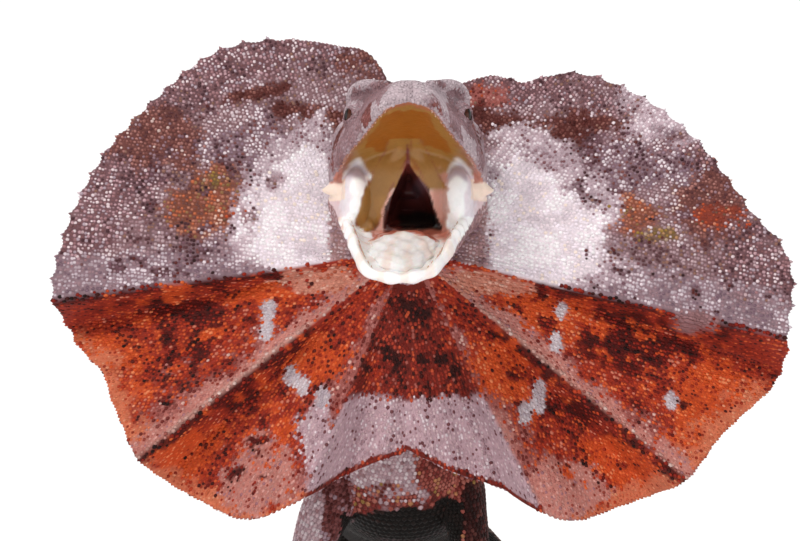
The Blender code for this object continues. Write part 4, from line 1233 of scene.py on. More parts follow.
@dataclass
class Head:
    """Skull, lower jaw and the flesh of the open mouth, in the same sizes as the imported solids."""

    corner: tuple[float, float, float] = (0, -8, 153.5)
    palate_pitch: float = math.radians(23)
    jaw_pitch: float = math.radians(-31.5)
    jaw_yaw: float = math.radians(-3)
    skull: tuple = (
        (-16, 12, 15, 0, 4), (-12.5, 18.5, 22.5, 0, 1.6), (-6, 23.2, 26.3, 0, 0),
        (0, 24.2, 26.6, 2.5, 0), (12, 23.2, 26.4, 5, 0), (24, 20.4, 24.2, 6, 0),
        (36, 15.5, 18.4, 5.5, 0), (46, 11.8, 13.2, 4.2, 0), (53, 9, 9.8, 2.8, 0.2),
        (57, 6.2, 6.8, 1.4, 0.8), (58.6, 2.6, 3.6, 0.4, 2),
    )
    temple: tuple = ((1, 0), (1.03, 0.16), (1, 0.36), (0.95, 0.57), (0.82, 0.79), (0.56, 0.94), (0.28, 0.99))
    orbit: tuple = ((1, 0), (1.02, 0.14), (0.96, 0.32), (0.86, 0.5), (0.84, 0.76), (0.7, 0.94), (0.36, 0.99))
    muzzle: tuple = ((1, 0), (1.03, 0.17), (0.93, 0.40), (0.80, 0.63), (0.62, 0.85), (0.42, 0.96), (0.2, 1))
    jaw: tuple = (
        (-12, 16, 9, 0.3), (-9, 20.5, 12, 0.6), (-3, 23.6, 14.5, 1.5), (2, 23.9, 15, 3.2),
        (8, 21.6, 14.5, 4.5), (17, 19.6, 12.8, 5.5), (30, 16.2, 9.2, 5.4), (40, 13.8, 6.6, 4),
        (47, 11.6, 4.8, 2.6), (51.5, 8.4, 3.6, 1.5), (54, 3.6, 2.2, 0.5),
    )
    jaw_outer: tuple = ((1, 0), (1.05, -0.22), (1, -0.5), (0.84, -0.78), (0.56, -0.95), (0.27, -1))
    jaw_inner: tuple = ((0.33, 0.98), (0.64, 0.78), (0.8, 0.35))
    jaw_seat: float = 0.8
    lip: float = 2.6
    brow: tuple = (
        (6, 49, 11.2, 1.1, 1), (9.2, 40, 15.6, 1.7, 1.5), (13, 32, 19.6, 2.4, 2),
        (15.6, 24, 21.8, 3, 2.5), (16.6, 14, 22.2, 2.9, 2.4), (15.6, 3, 20.6, 1.6, 1.6),
    )
    nostril: tuple[float, float, float] = (5.6, 50.5, 8.2)
    throat: tuple = (
        (-44, 13, 141, 176), (-26, 12, 139.5, 165.5), (-14, 9, 142, 160), (0, 5, 146, 156),
    )
    throat_section: tuple = (
        (0.03, 1), (0.08, 0.84), (0.36, 0.66), (0.62, 0.5), (0.8, 0.3), (0.96, 0.1), (0.84, 0),
    )
    throat_sides: tuple[float, float] = (0.84, -0.64)
    pads: tuple = (
        ((-16.2, -19.5, 149.6), (4.6, 7, 10)), ((15.4, -19.5, 149.6), (5, 7, 10.4)),
    )
    arms: tuple = (
        ((-2.5, -20, 166, 2.2, 2.2), (-6, -18, 159.5, 2.9, 2.9), (-10, -17, 151, 3, 3),
         (-12.6, -19, 143, 2.6, 2.6), (-12.8, -22, 138, 1.6, 1.6)),
        ((2, -20, 166, 2.2, 2.2), (5.6, -18, 159.5, 2.9, 2.9), (10, -17, 151, 3, 3),
         (12.8, -19, 144, 2.6, 2.6), (13, -22, 139, 1.6, 1.6)),
    )
    gape: tuple = (
        (137.5, 10, -7.4), (141, 10.4, -7.6), (147, 8, -7.3), (153, 6.4, -3.8), (157, 2.6, -2.2),
        (160, 0.7, -0.9), (165, 0.3, -0.5),
    )
    lining_half: tuple[float, float, float] = (23, 12, 19)
    lining_middle: tuple[float, float] = (-10.5, 153.5)
    mouth_corner: tuple = (
        (18, -13.5, 153.4, 3.6, 4.6), (21.2, -13, 153.3, 2.8, 3.6), (24, -12, 153, 1.8, 2.2),
        (27, -11, 152.7, 0.5, 0.5),
    )
    upper_lip: tuple[float, ...] = (1, 8, 16, 24, 32, 40, 47, 53, 57)
    lower_lip: tuple[float, ...] = (1, 8, 16, 24, 32, 40, 46, 50, 52.6)
    temple_bulge: tuple = ((19.5, 3, 12), (4.6, 11, 9), -0.4)
    nostril_bulge: tuple = (7.6, (1.9, 2.6, 2), -0.4)
    cheek_bulge: tuple = ((17.5, 2, -7), (6, 9, 7), 0.5)
    pad_middle: tuple[float, float] = (15.8, 149.6)
    tongue_rows: tuple = (
        (20, 6, 1), (23, 9.4, 2.4), (28, 10.4, 2.9), (36, 8.8, 2.4), (43, 5.6, 1.5), (46, 1.8, 0.6),
    )
    eye_radius: float = 5
    eye_out: tuple[float, float, float] = (0.90, -0.40, 0.17)
    lid_radius: float = 5.75
    lid_slit: tuple[float, float, float] = (3.5, 1.9, 2.3)
    voxel: float = 0.6

    def point(self, sideways: float, along: float, height: float) -> Array:
        """A point in the skull's own directions from the corner of the mouth."""
        forward, up = pitched(self.palate_pitch)
        return np.asarray(self.corner) + forward * along + up * height + SIDEWAYS * sideways

    def jaw_point(self, sideways: float, along: float, height: float) -> Array:
        """A point in the lower jaw's own directions from the corner of the mouth."""
        forward, up = pitched(self.jaw_pitch, self.jaw_yaw)
        return np.asarray(self.corner) + forward * along + up * height + SIDEWAYS * sideways

    def skull_section(self, along: float, row: Array) -> Array:
        """One section of the skull: outer skin over the crown, then lips and palate.

        Args:
            along: place along the skull.
            row: half width, height, vault and lift there.

        Returns:
            The ring, as sideways and upwards pairs.
        """
        width, height, vault, lift = row
        if along < 24:
            share = float(np.clip((along - 6) / 18, 0, 1))
            profile = (1 - share) * np.array(self.temple) + share * np.array(self.orbit)
        else:
            share = float(np.clip((along - 24) / 18, 0, 1))
            profile = (1 - share) * np.array(self.orbit) + share * np.array(self.muzzle)
        outer = [(x * width, h * height + lift) for x, h in profile]
        lip = min(float(np.interp(along, (40, 52), (self.lip, 1.6))), 0.45 * width)
        drop = 0.9 * float(np.clip((along + 4) / 8, 0, 1))
        half = [
            (width - 0.5 * lip, lift - drop), (width - lip, lift + 0.12 * vault),
            (0.62 * (width - lip), lift + 0.72 * vault), (0.3 * (width - lip), lift + 0.95 * vault),
        ]
        inner = [(-x, h) for x, h in half] + [(0, lift + vault)] + half[::-1]
        return np.array(outer + [(-x, h) for x, h in reversed(outer)] + inner)

    def jaw_section(self, row: Array) -> Array:
        """One section of the lower jaw: outer skin under the chin, then the trough of the mouth.

        Args:
            row: half width, depth and trough.

        Returns:
            The ring, as sideways and upwards pairs.
        """
        width, depth, trough = row
        outer = [(x * width, h * depth) for x, h in self.jaw_outer]
        half = [(0.5 * (1 + self.jaw_inner[-1][0]) * width, 0.35)]
        half += [(x * width, -h * trough) for x, h in reversed(self.jaw_inner)]
        inner = [(-x, h) for x, h in half] + [(0, -trough)] + half[::-1]
        return np.array(outer + [(-x, h) for x, h in reversed(outer)] + inner)

    def skull_shape(self) -> Shape:
        """The skull with the palate open below.

        Returns:
            The closed form.
        """
        forward, up = pitched(self.palate_pitch)
        places = np.concatenate([np.linspace(self.skull[0][0], 57, 60), [57.6, 58.2, 58.6]])
        rings = []
        for place, row in zip(places, smooth_rows(self.skull, places)):
            ring = rounded_ring(self.skull_section(place, row), 3)
            centre = np.asarray(self.corner) + forward * place
            rings.append(centre + ring[:, :1] * SIDEWAYS + ring[:, 1:] * up)
        return loft(np.array(rings))

    def jaw_shape(self) -> Shape:
        """The lower jaw, whose rear slides back under the skull.

        Returns:
            The closed form.
        """
        forward, up = pitched(self.jaw_pitch, self.jaw_yaw)
        under, from_skull = pitched(self.palate_pitch)
        places = np.linspace(self.jaw[0][0], self.jaw[-1][0], 60)
        rings = []
        for place, row in zip(places, smooth_rows(self.jaw, places)):
            centre = np.asarray(self.corner) + (forward if place > 0 else under) * place
            ring = rounded_ring(self.jaw_section(row), 3)
            rings.append(centre - from_skull * self.jaw_seat + ring[:, :1] * SIDEWAYS + ring[:, 1:] * up)
        return loft(np.array(rings))

    def lining_shape(self) -> Shape:
        """The flesh behind the open mouth with the hollow of the throat.

        Returns:
            The form in triangles.
        """
        (half, deep, tall), (y, z) = self.lining_half, self.lining_middle
        rings = []
        for turn in np.linspace(0.08 * math.pi, 0.92 * math.pi, 16):
            ring = oval(36, 2.6) * (half * math.sin(turn), tall * math.sin(turn))
            ahead = np.full(36, y - deep * math.cos(turn))
            rings.append(np.column_stack([ring[:, 0], ahead, z + ring[:, 1]]))
        hollow = []
        for y, half, low, high in self.throat:
            wall = [(across * half, low + rise * (high - low)) for across, rise in self.throat_section]
            right, left = self.throat_sides
            ring = [(x * right, y, z) for x, z in wall] + [(x * left, y, z) for x, z in reversed(wall)]
            hollow.append(rounded_ring(np.array(ring), 2))
        return carved(loft(np.array(rings)), loft(np.array(hollow)))

    def lip_tubes(self) -> list[Shape]:
        """The rounded rims of both lips and the flared folds at the corners of the mouth.

        Returns:
            The closed forms.
        """
        tubes = []
        for side in (1, -1):
            upper, lower = [], []
            for along in self.upper_lip:
                width = float(smooth_rows(self.skull, along)[0][0])
                upper.append((*self.point(side * (width - 0.9), along, 0.3), 1.25, 1.25))
            upper.append((*self.point(0, 58.4, 1.2), 1.2, 1.2))
            for along in self.lower_lip:
                width = float(smooth_rows(self.jaw, along)[0][0])
                lower.append((*self.jaw_point(side * (width - 0.8), along, -0.9), 1.5, 1.4))
            lower.append((*self.jaw_point(0, 54, -0.9), 1.3, 1.3))
            tubes += [Sweep(tuple(path), (0, 0, 1)).shape(0, 9, 2, 12) for path in (upper, lower)]
            path = tuple((side * x, *rest) for x, *rest in self.mouth_corner)
            tubes.append(Sweep(path, (0, 1, 0)).shape(0, 3, 0.6, 14))
        return tubes

    def shapes(self) -> list[Shape]:
        """Every overlapping form of the head's flesh.

        Returns:
            The closed forms.
        """
        forms = [self.skull_shape(), self.jaw_shape(), self.lining_shape(), *self.lip_tubes()]
        for side in (1, -1):
            path = tuple((*self.point(row[0] * side, row[1], row[2]), row[3], row[4]) for row in self.brow)
            forms.append(Sweep(path).shape(0, len(path) - 1, 1.5, 14))
            forms.append(ball(EYE_CENTRE * (side, 1, 1), (self.lid_radius,) * 3))
            (x, *rest), radii, tilt = self.temple_bulge
            forms.append(ball(self.point(side * x, *rest), radii, tilt))
            height, radii, tilt = self.nostril_bulge
            forms.append(ball(self.point(side * self.nostril[0], self.nostril[1], height), radii, tilt))
            (x, *rest), radii, tilt = self.cheek_bulge
            forms.append(ball(self.jaw_point(side * x, *rest), radii, tilt))
        forms += [ball(np.array(centre), radii) for centre, radii in self.pads]
        forms += [Sweep(arm).shape(0, len(arm) - 1, 1.5, 14) for arm in self.arms]
        return forms

    def eye_axes(self, side: float) -> tuple[Array, Array, Array, Array]:
        """Centre of an eyeball, the way it looks, and level and upright directions square to that.

        Args:
            side: 1 on the left, -1 on the right.

        Returns:
            The centre and three unit directions.
        """
        out = unit(np.asarray(self.eye_out) * (side, 1, 1))
        across = unit(np.cross(out, (0, 0, 1)))
        return EYE_CENTRE * (side, 1, 1), out, across, np.cross(across, out)

    def open_lids(self, points: Array) -> Array:
        """Presses the skin in between the lids, so that the eyeball shows in an almond-shaped gap.

        Args:
            points: the head's skin.

        Returns:
            The points, pressed in.
        """
        moved = points.copy()
        for side in (1, -1):
            centre, out, across, up = self.eye_axes(side)
            rel = moved - centre
            depth, level, rise = rel @ out, rel @ across, rel @ up
            wide, tall, deep = self.lid_slit
            inside = 1 - (level / wide) ** 2 - (rise / tall) ** 2
            floor = 5.2 - deep * np.sqrt(np.clip(inside, 0, 1))
            press = (inside > 0) & (depth > floor) & (depth < 9)
            moved[press] -= out * (depth - floor)[press][:, None]
            fold = np.exp(-(((np.hypot(level / wide, rise / tall) - 1.45) / 0.12) ** 2)) * (depth > 3)
            moved -= out * (0.35 * fold)[:, None]
        return moved

    def frame_of(self, points: Array) -> dict[str, Array]:
        """Where points lie against both jaws: along, height, and each jaw's half width there.

        Args:
            points: places on the head.

        Returns:
            The measures by name.
        """
        rel = points - np.asarray(self.corner)
        forward, up = pitched(self.palate_pitch)
        jaw_forward, jaw_up = pitched(self.jaw_pitch, self.jaw_yaw)
        along, jaw_along = rel @ forward, rel @ jaw_forward
        skull, jaw = smooth_rows(self.skull, along), smooth_rows(self.jaw, jaw_along)
        return {
            "x": points[:, 0], "along": along, "height": rel @ up, "wide": skull[:, 0], "vault": skull[:, 2],
            "jaw_x": points[:, 0] - math.sin(self.jaw_yaw) * jaw_along, "jaw_along": jaw_along,
            "jaw_height": rel @ jaw_up, "jaw_wide": jaw[:, 0], "trough": jaw[:, 2],
        }

    def inside_mouth(self, points: Array) -> Array:
        """Mask of the mouth's wet lining, the lower lip's rim included.

        Args:
            points: places on the head.

        Returns:
            True on the lining.
        """
        at = self.frame_of(points)
        below = (at["height"] < at["vault"] + 1.4) & (np.abs(at["x"]) < at["wide"] - 1.2)
        below &= at["along"] < 57.8
        above = (at["jaw_height"] > -at["trough"] - 2) & (at["jaw_along"] < 54)
        inner = np.abs(at["jaw_x"]) < at["jaw_wide"] - 0.9
        top = np.interp(at["jaw_along"], (18, 26), (11, 3))
        base = np.interp(at["jaw_along"], (34, 48), (-2.6, -5.6))
        flare = np.interp(at["jaw_along"], (38, 50), (1.8, 4.4))
        rim = (at["jaw_height"] > base) & (at["jaw_height"] < top) & (at["jaw_along"] > -2)
        rim &= (np.abs(at["jaw_x"]) < at["jaw_wide"] + flare) & (at["jaw_along"] < 58) & (at["height"] < -0.8)
        corner = (np.abs(at["x"]) > 20) & (points[:, 1] < -8.5) & (np.abs(points[:, 2] - 152.9) < 2.6)
        return (below & above & (inner | (at["height"] > -8)) & (points[:, 1] < 1)) | rim | corner

    def relief(self, points: Array, normals: Array) -> Array:
        """Sinks the nostrils and eardrums, and wrinkles the floor of the mouth.

        Args:
            points: the head's skin.
            normals: its outward directions.

        Returns:
            The points, moved.
        """
        moved = points.copy()
        for side in (1, -1):
            x, along, height = self.nostril
            pit = self.point(side * (x + 1.6), along + 0.6, height + 0.6)
            moved -= normals * (1.5 * np.exp(-((np.linalg.norm(points - pit, axis=1) / 1) ** 2)))[:, None]
            drum = np.linalg.norm(points - self.point(side * 23.5, -4, 6.5), axis=1)
            moved -= normals * (1.1 * ramp(drum, 3.4, -1.2))[:, None]
        at = self.frame_of(points)
        floor = self.inside_mouth(points) & (at["jaw_height"] < 1.5) & (at["jaw_along"] > 12)
        turn = np.arctan2(at["x"], at["jaw_along"] - 18)
        wave = np.sin(turn * 22 + 2 * np.sin(turn * 5)) * ramp(at["jaw_along"], 12, 8)
        return moved + normals * (0.28 * wave * floor)[:, None]

    def lining_colours(self, points: Array) -> Array:
        """Colours of the wet lining: golden palate, white cheeks and jaw, and the throat's hollow painted
        dark as shade, with a painted glint.

        Args:
            points: places on the lining.

        Returns:
            Linear colours.
        """
        at = self.frame_of(points)
        x, y, z = points.T
        front = points[:, (0, 2)]
        tone = np.tile(linear("#e9d9d6"), (len(points), 1))

        def lay(code: str, mask: Array) -> None:
            """Lays one colour over what is there."""
            tone[:] = laid(tone, linear(code), np.clip(mask, 0, 1))

        mottle = value_noise(points, 3, 71) - 0.5
        fine = value_noise(points, 1.4, 72) - 0.5
        roof = ease((at["jaw_height"] + at["trough"] - (at["vault"] - at["height"])) / 3 + 0.5)
        roof = np.maximum(roof, ramp(z, 158, 1.5) * (np.abs(x) < 19))
        edge = np.abs(x) / np.maximum(at["wide"] - 1.2, 1)
        centre = np.abs(x + 0.8) / np.maximum(at["wide"] - 1.2, 1)
        lay("#a2753a", roof)
        gold = ease((at["along"] - 15 + 7 * mottle - 0.3 * np.abs(x)) / 2)
        gold = gold * ease((45.5 - at["along"] + 3 * fine) / 1.5)
        lay("#9c5a18", roof * gold * ease((0.66 - centre + 0.16 * mottle) / 0.06))
        lay("#a0693c", roof * ease((edge - 0.78 + 0.2 * mottle) / 0.08))
        lay("#b47a68", roof * ease((edge - 0.88 + 0.16 * fine) / 0.06))
        lay("#ad6c50", roof * ease((at["along"] - 46.5 + 4 * fine + 4 * mottle) / 1.6))
        lay("#c08f82", roof * ease((at["along"] - 52.5 + 3 * fine) / 1.6))
        floor = 1 - roof
        turn = np.arctan2(at["jaw_x"], at["jaw_along"] - 18)
        ray = ease(np.sin(turn * 22 + 2 * np.sin(turn * 5)) * 1.2)
        lay("#ffffff", floor)
        lay("#f6e2d6", floor * ray * 0.6)
        lay("#e0a593", floor * ease((24 - at["jaw_along"] + 10 * mottle) / 5) * 0.85)
        for side in (1, -1):
            pad = np.hypot((x - side * self.pad_middle[0]) / 4.6, (z - self.pad_middle[1]) / 10)
            near = y > -36
            lay("#ffffff", ease((1.3 - pad + 0.2 * mottle) / 0.25) * near)
            lay("#a893a2", ramp(pad, 1.25, -0.3) * ease((z - 154.5 - 4 * mottle) / 3) * near * 0.8)
            flank = ease((side * x - 17 + 3 * mottle) / 1.5) * near
            lay("#dccdd6", flank * (z > 144) * (z < 157) * 0.7)
            inner = ease((12.8 - side * x + 2 * fine) / 1.2) * (side * x > 5) * near
            inner = inner * ease((159 - z + 4 * fine) / 2.5)
            reach = 1.9 if side > 0 else 1.15
            lay("#c98d7c", inner * ease((reach - pad) / 0.3) * 0.8)
            arm = near_path(front, tuple((row[0], row[2]) for row in self.arms[0 if side < 0 else 1][:4]))
            wide = 3 if side > 0 else 4
            band = ease((wide - arm + fine) / 0.8) * (y > -27) * (y < -10)
            if side > 0:
                band = band * ease((z - 151 + 2 * mottle) / 2)
            lay("#a2753a", band * ramp(x * side, -1, 1))
            lay("#8f5238", band * ease((arm - wide + 1 + mottle) / 0.6) * 0.8)
        # The throat's hollow: its dark red flesh, painted darker with depth as painted shade
        levels, right, left = zip(*self.gape)
        middle = (np.interp(z, levels, right) + np.interp(z, levels, left)) / 2
        half = (np.interp(z, levels, right) - np.interp(z, levels, left)) / 2
        depth = ramp(y, -19.5, 4)
        gape = ease((half - np.abs(x - middle) + 0.5 * fine) / 0.6 + 0.5) * ramp(y, -25, 2)
        deep = (y > -20) * (z < 165.5) * (np.abs(x - 1) < 9.5) * (z > 139)
        gape = np.maximum(gape, deep * depth)
        gape = gape * ease((z - 138 - 1.6 * fine) / 1) * ramp(z, 167, -1)
        lay("#7d3a35", gape)
        lay("#3a120f", gape * ease((158.5 - z + 3 * fine) / 2))
        # A dark red mound in the throat with a purple-grey painted glint in its middle
        lay("#5d2a29", gape * np.exp(-((np.hypot((x - 2.6) / 4.4, (z - 153) / 5)) ** 4)))
        lay("#6d5059", gape * np.exp(-((np.hypot((x - 3.2) / 2, (z - 153.2) / 2.4)) ** 4)))
        # Near-black low in the throat: painted shade
        black = gape * ease((147 - z + 3 * mottle) / 2.5)
        lay("#0d0908", black * ease((x + 3.5 + 3 * fine) / 1.5))
        ragged = np.exp(-(((z - 138.4 - 2 * fine) / 1.3) ** 2)) * (np.abs(x - 1) < 12) * (y < -14)
        lay("#c4705c", ragged * 0.8)
        lay("#f3ddcd", (np.abs(x) > 19.5) * ease((-8 - y) / 1) * (np.abs(z - 152.8) < 3.4))
        lay("#c07f70", (np.abs(x) > 20.5) * ease((z - 154.6 + fine) / 0.8) * (y < -8))
        return tone

    def zones(self, points: Array, normals: Array) -> list[tuple]:
        """Markings of the head's outer skin and painted shade at the temples beside the frill, with palettes
        and masks.

        Args:
            points: places on the head.
            normals: outward directions.

        Returns:
            Pairs of palette and mask.
        """
        at = self.frame_of(points)
        side = np.abs(normals[:, 0])
        chin = ramp(-at["jaw_height"], 1, 3) * (at["height"] < -4)
        temple = np.exp(-((np.linalg.norm(np.abs(points) - (21, 16, 168), axis=1) / 6) ** 2))
        eyes = np.linalg.norm(np.column_stack([np.abs(points[:, 0]), points[:, 1:]]) - EYE_CENTRE, axis=1)
        muzzle = ramp(side, 0.45, 0.3) * ramp(at["along"], 8, 8)
        crown = ramp(normals[:, 2], 0.5, 0.3) * ramp(at["along"], 8, -20)
        patch = value_noise(points * (1, 0.6, 0.7), 6, 74)
        streak = value_noise(points * (1, 0.35, 0.45), 3, 75)
        face = ramp(at["along"], 4, 6) * ramp(-normals[:, 1], -0.1, 0.3)
        return [
            (HEAD_MAUVE, np.ones(len(points))),
            (BACK_BROWN, 0.8 * crown),
            (BACK_BROWN, ease((points[:, 1] + 6 + 6 * patch) / 8)),
            (CHEEK_MAUVE, 0.85 * muzzle),
            (HEAD_PALE, 0.9 * ramp(patch, 0.55, 0.12) * face),
            (CHEEK_MAUVE, 0.9 * ramp(patch, 0.4, -0.12) * face),
            (LIP_RUST, 0.8 * ramp(streak, 0.68, 0.08) * muzzle),
            (HEAD_PALE, 0.9 * ease((at["height"] - 16 + 3 * patch) / 3) * face),
            (CHEEK_MAUVE, 0.8 * np.exp(-(((eyes - 7.5) / 2) ** 2))),
            # Dark rust patch at the temples: partly painted shade where the head meets the frill
            (RUST_AND_SHADE_BAND, 0.75 * temple),
            (GULAR_PINK, chin),
        ]

    def eyeball(self, side: Side) -> Object:
        """A glossy ball with a slit-dark pupil and a coppery iris.

        Args:
            side: left or right.

        Returns:
            The eyeball.
        """
        centre, out, across, up = self.eye_axes(side.value)
        rings = []
        for turn in np.linspace(0.02, 0.98, 40) * math.pi:
            bulge = 1 + 0.05 * math.exp(-((turn / 0.5) ** 2))
            ring = oval(48) * self.eye_radius * math.sin(turn) * bulge
            middle = centre + out * self.eye_radius * math.cos(turn) * bulge
            rings.append(middle + ring[:, :1] * across + ring[:, 1:] * up)
        shape = loft(np.array(rings))
        rel = unit(shape.points - centre)
        away = np.degrees(np.arccos(np.clip(rel @ out, -1, 1)))
        level, rise = rel @ across, rel @ up
        slit = np.hypot(level / 0.30, rise / 0.36)
        colours = np.tile(linear("#120a08"), (len(shape.points), 1))
        rays = np.column_stack([np.degrees(np.arctan2(rise, level)) / 6, away / 9])
        fibres = 0.75 + 0.5 * value_noise(rays, 1, 81)
        colours = laid(colours, linear("#4a2316") * fibres[:, None], ramp(away, 34, -3))
        colours = laid(colours, linear("#060403"), ramp(slit, 1, -0.15))
        made = dressed(f"eyeball_{side.name.lower()}", shape, colours, EYE_GLOSS)
        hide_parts(f"eye_{side.name.lower()}")
        return made

    def teeth(self) -> Object:
        """Small peg teeth along both jaws, with longer fangs in front.

        Returns:
            The teeth as one piece.
        """
        spikes = []
        for side in (1, -1):
            for i, along in enumerate(np.linspace(15, 55, 17)):
                width = float(smooth_rows(self.skull, along)[0][0]) - 2
                length = 0.9 if i in (14, 15) else 0.35 + 0.15 * math.sin(2.3 * i)
                root = self.point(side * width, along, 1.2)
                tip = self.point(side * (width - 0.3), along + 0.3, -length)
                spikes.append(((*root, 0.62, 0.62), (*(0.5 * (root + tip)), 0.5, 0.5), (*tip, 0.08, 0.08)))
            for i, along in enumerate(np.linspace(17, 49, 15)):
                width = float(smooth_rows(self.jaw, along)[0][0]) - 2.1
                length = 0.8 if i == 13 else 0.3 + 0.12 * math.sin(1.9 * i)
                root = self.jaw_point(side * width, along, -1.8)
                tip = self.jaw_point(side * width, along, length)
                spikes.append(((*root, 0.6, 0.6), (*(0.5 * (root + tip)), 0.48, 0.48), (*tip, 0.08, 0.08)))
        shape = joined([Sweep(s, (0.31, 0.87, 0.38)).shape(0, 2, 0.5, 8) for s in spikes])
        made = dressed("teeth", shape, np.tile(linear("#c9a595"), (len(shape.points), 1)), TOOTH_IVORY)
        return made

    def tongue(self) -> Object:
        """The fleshy pad of the tongue on the floor of the jaw, ragged at its back.

        Returns:
            The tongue.
        """
        forward, up = pitched(self.jaw_pitch, self.jaw_yaw)
        places = np.linspace(self.tongue_rows[0][0], self.tongue_rows[-1][0], 40)
        troughs = smooth_rows(self.jaw, places)[:, 2]
        rings = []
        for place, (half, height), trough in zip(places, smooth_rows(self.tongue_rows, places), troughs):
            turns = np.arange(32) * math.tau / 32
            ripple = 1 + 0.07 * np.sin(turns * 9 + place) + 0.05 * np.sin(turns * 4 - 0.7 * place)
            ring = oval(32) * (half, height + 1) * ripple[:, None]
            centre = np.asarray(self.corner) + forward * place - up * trough
            rings.append(centre + ring[:, :1] * SIDEWAYS + ring[:, 1:] * up)
        shape = loft(np.array(rings))
        along = (shape.points - np.asarray(self.corner)) @ forward
        ragged = ease((25.5 - along + 6 * (value_noise(shape.points, 2, 91) - 0.5)) / 1.2)
        turn = np.arctan2(shape.points[:, 0] - self.corner[0] + 1.5, along - 12)
        ray = ease(np.sin(turn * 19 + 2 * np.sin(turn * 6)) * 1.4) * 0.55
        pale = laid(linear("#ffffff"), linear("#f4d8ca"), ray)
        made = dressed("tongue_pad", shape, laid(pale, linear("#c4705c"), ragged), WET_FLESH)
        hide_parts("tongue")
        return made


@dataclass(frozen=True)
class PawSizes:
    """Palm length, half width and thickness, then the turn and reach of each digit."""

    palm: tuple[float, float, float]
    digits: tuple[tuple[float, float], ...]
    thickness: float
    claw: float


HAND = PawSizes((11, 6.6, 3.6), ((-52, 9), (-24, 14), (0, 17), (24, 17), (52, 11)), 1.75, 4.2)
FOOT = PawSizes((19, 7.4, 4), ((-46, 10), (-20, 17), (-3, 25), (14, 33), (48, 19)), 1.95, 4.6)


@dataclass
class Paw:
    """One hand or foot: palm, five digits and their curved claws."""

    wrist: tuple[float, ...]
    heading: float
    side: Side
    sizes: PawSizes
    palm: tuple = ((0.35, 1.25, 0.85, 1), (0.75, 0.95, 1, 0.95), (1, 0.8, 0.86, 0.75), (1.16, 0.7, 0.45, 0.4))
    toe: tuple = ((0, 3.4, 1), (0.3, 2.6, 1.05), (0.55, 1.6, 0.86), (0.8, 1.15, 0.92), (1, 1.05, 0.66))
    horn: tuple = ((-0.35, 1.7, 0.55), (0.25, 1.85, 0.46), (0.7, 1.35, 0.28), (1, 0.4, 0.06))

    def ahead(self, turn: float = 0) -> Array:
        """Direction along the floor, turned outwards by an angle in degrees."""
        angle = math.radians(self.heading + turn) * self.side.value
        return np.array((math.sin(angle), -math.cos(angle), 0))

    def tube(self, rows: list[tuple], way: Array, step: float, sides: int) -> Shape:
        """A closed tube that runs level with the floor.

        Args:
            rows: place and half widths at each station.
            way: direction that it runs in.
            step: distance between its rings.
            sides: points round each ring.

        Returns:
            The tube.
        """
        level = tuple(np.cross(way, (0, 0, 1)))
        return Sweep(tuple(rows), level).shape(0, len(rows) - 1, step, sides)

    def palm_shape(self) -> Shape:
        """The palm, low over the floor.

        Returns:
            The closed form.
        """
        length, half, thick = self.sizes.palm
        x, y = self.wrist[:2]
        way = self.ahead()
        rows = [self.wrist]
        for share, rise, wide, tall in self.palm:
            place = (x + way[0] * length * share, y + way[1] * length * share)
            rows.append((*place, thick * rise, half * wide, thick * tall))
        return self.tube(rows, way, 0.8, 18)

    def root(self, turn: float) -> Array:
        """Where one digit leaves the palm.

        Args:
            turn: degrees from the line of the palm.

        Returns:
            A point on the floor.
        """
        length, half, _ = self.sizes.palm
        way = self.ahead()
        level = np.cross(way, (0, 0, 1))
        bend = math.radians(turn) * self.side.value
        return np.array((*self.wrist[:2], 0)) + way * length * 0.72 - level * math.sin(bend) * half * 0.62

    def digit(self, turn: float, reach: float) -> Shape:
        """One digit with its knuckles.

        Args:
            turn: degrees from the palm's line.
            reach: length beyond the palm.

        Returns:
            The closed form.
        """
        way, girth = self.ahead(turn), self.sizes.thickness
        length = reach + self.sizes.palm[0] * 0.28
        rows = []
        for share, lift, wide in self.toe:
            place = self.root(turn) + way * length * share
            height = max(lift * girth * 0.8, girth * wide)
            rows.append((place[0], place[1], height, girth * wide, girth * wide))
        return self.tube(rows, way, 0.6, 12)

    def claw(self, turn: float, reach: float) -> Shape:
        """One claw, sunk in the tip of its digit.

        Args:
            turn: degrees from the palm's line.
            reach: the digit's length.

        Returns:
            The closed form.
        """
        way, girth = self.ahead(turn), self.sizes.thickness
        tip = self.root(turn) + way * (reach + self.sizes.palm[0] * 0.28)
        rows = []
        for share, height, wide in self.horn:
            place = tip + way * self.sizes.claw * share
            rows.append((place[0], place[1], height, girth * wide * 0.8, girth * wide * 1.15))
        return self.tube(rows, way, 0.4, 10)

    def shapes(self) -> list[Shape]:
        """Palm and digits, overlapping."""
        return [self.palm_shape()] + [self.digit(turn, reach) for turn, reach in self.sizes.digits]

    def claws(self) -> list[Shape]:
        """The five claws."""
        return [self.claw(turn, reach) for turn, reach in self.sizes.digits]


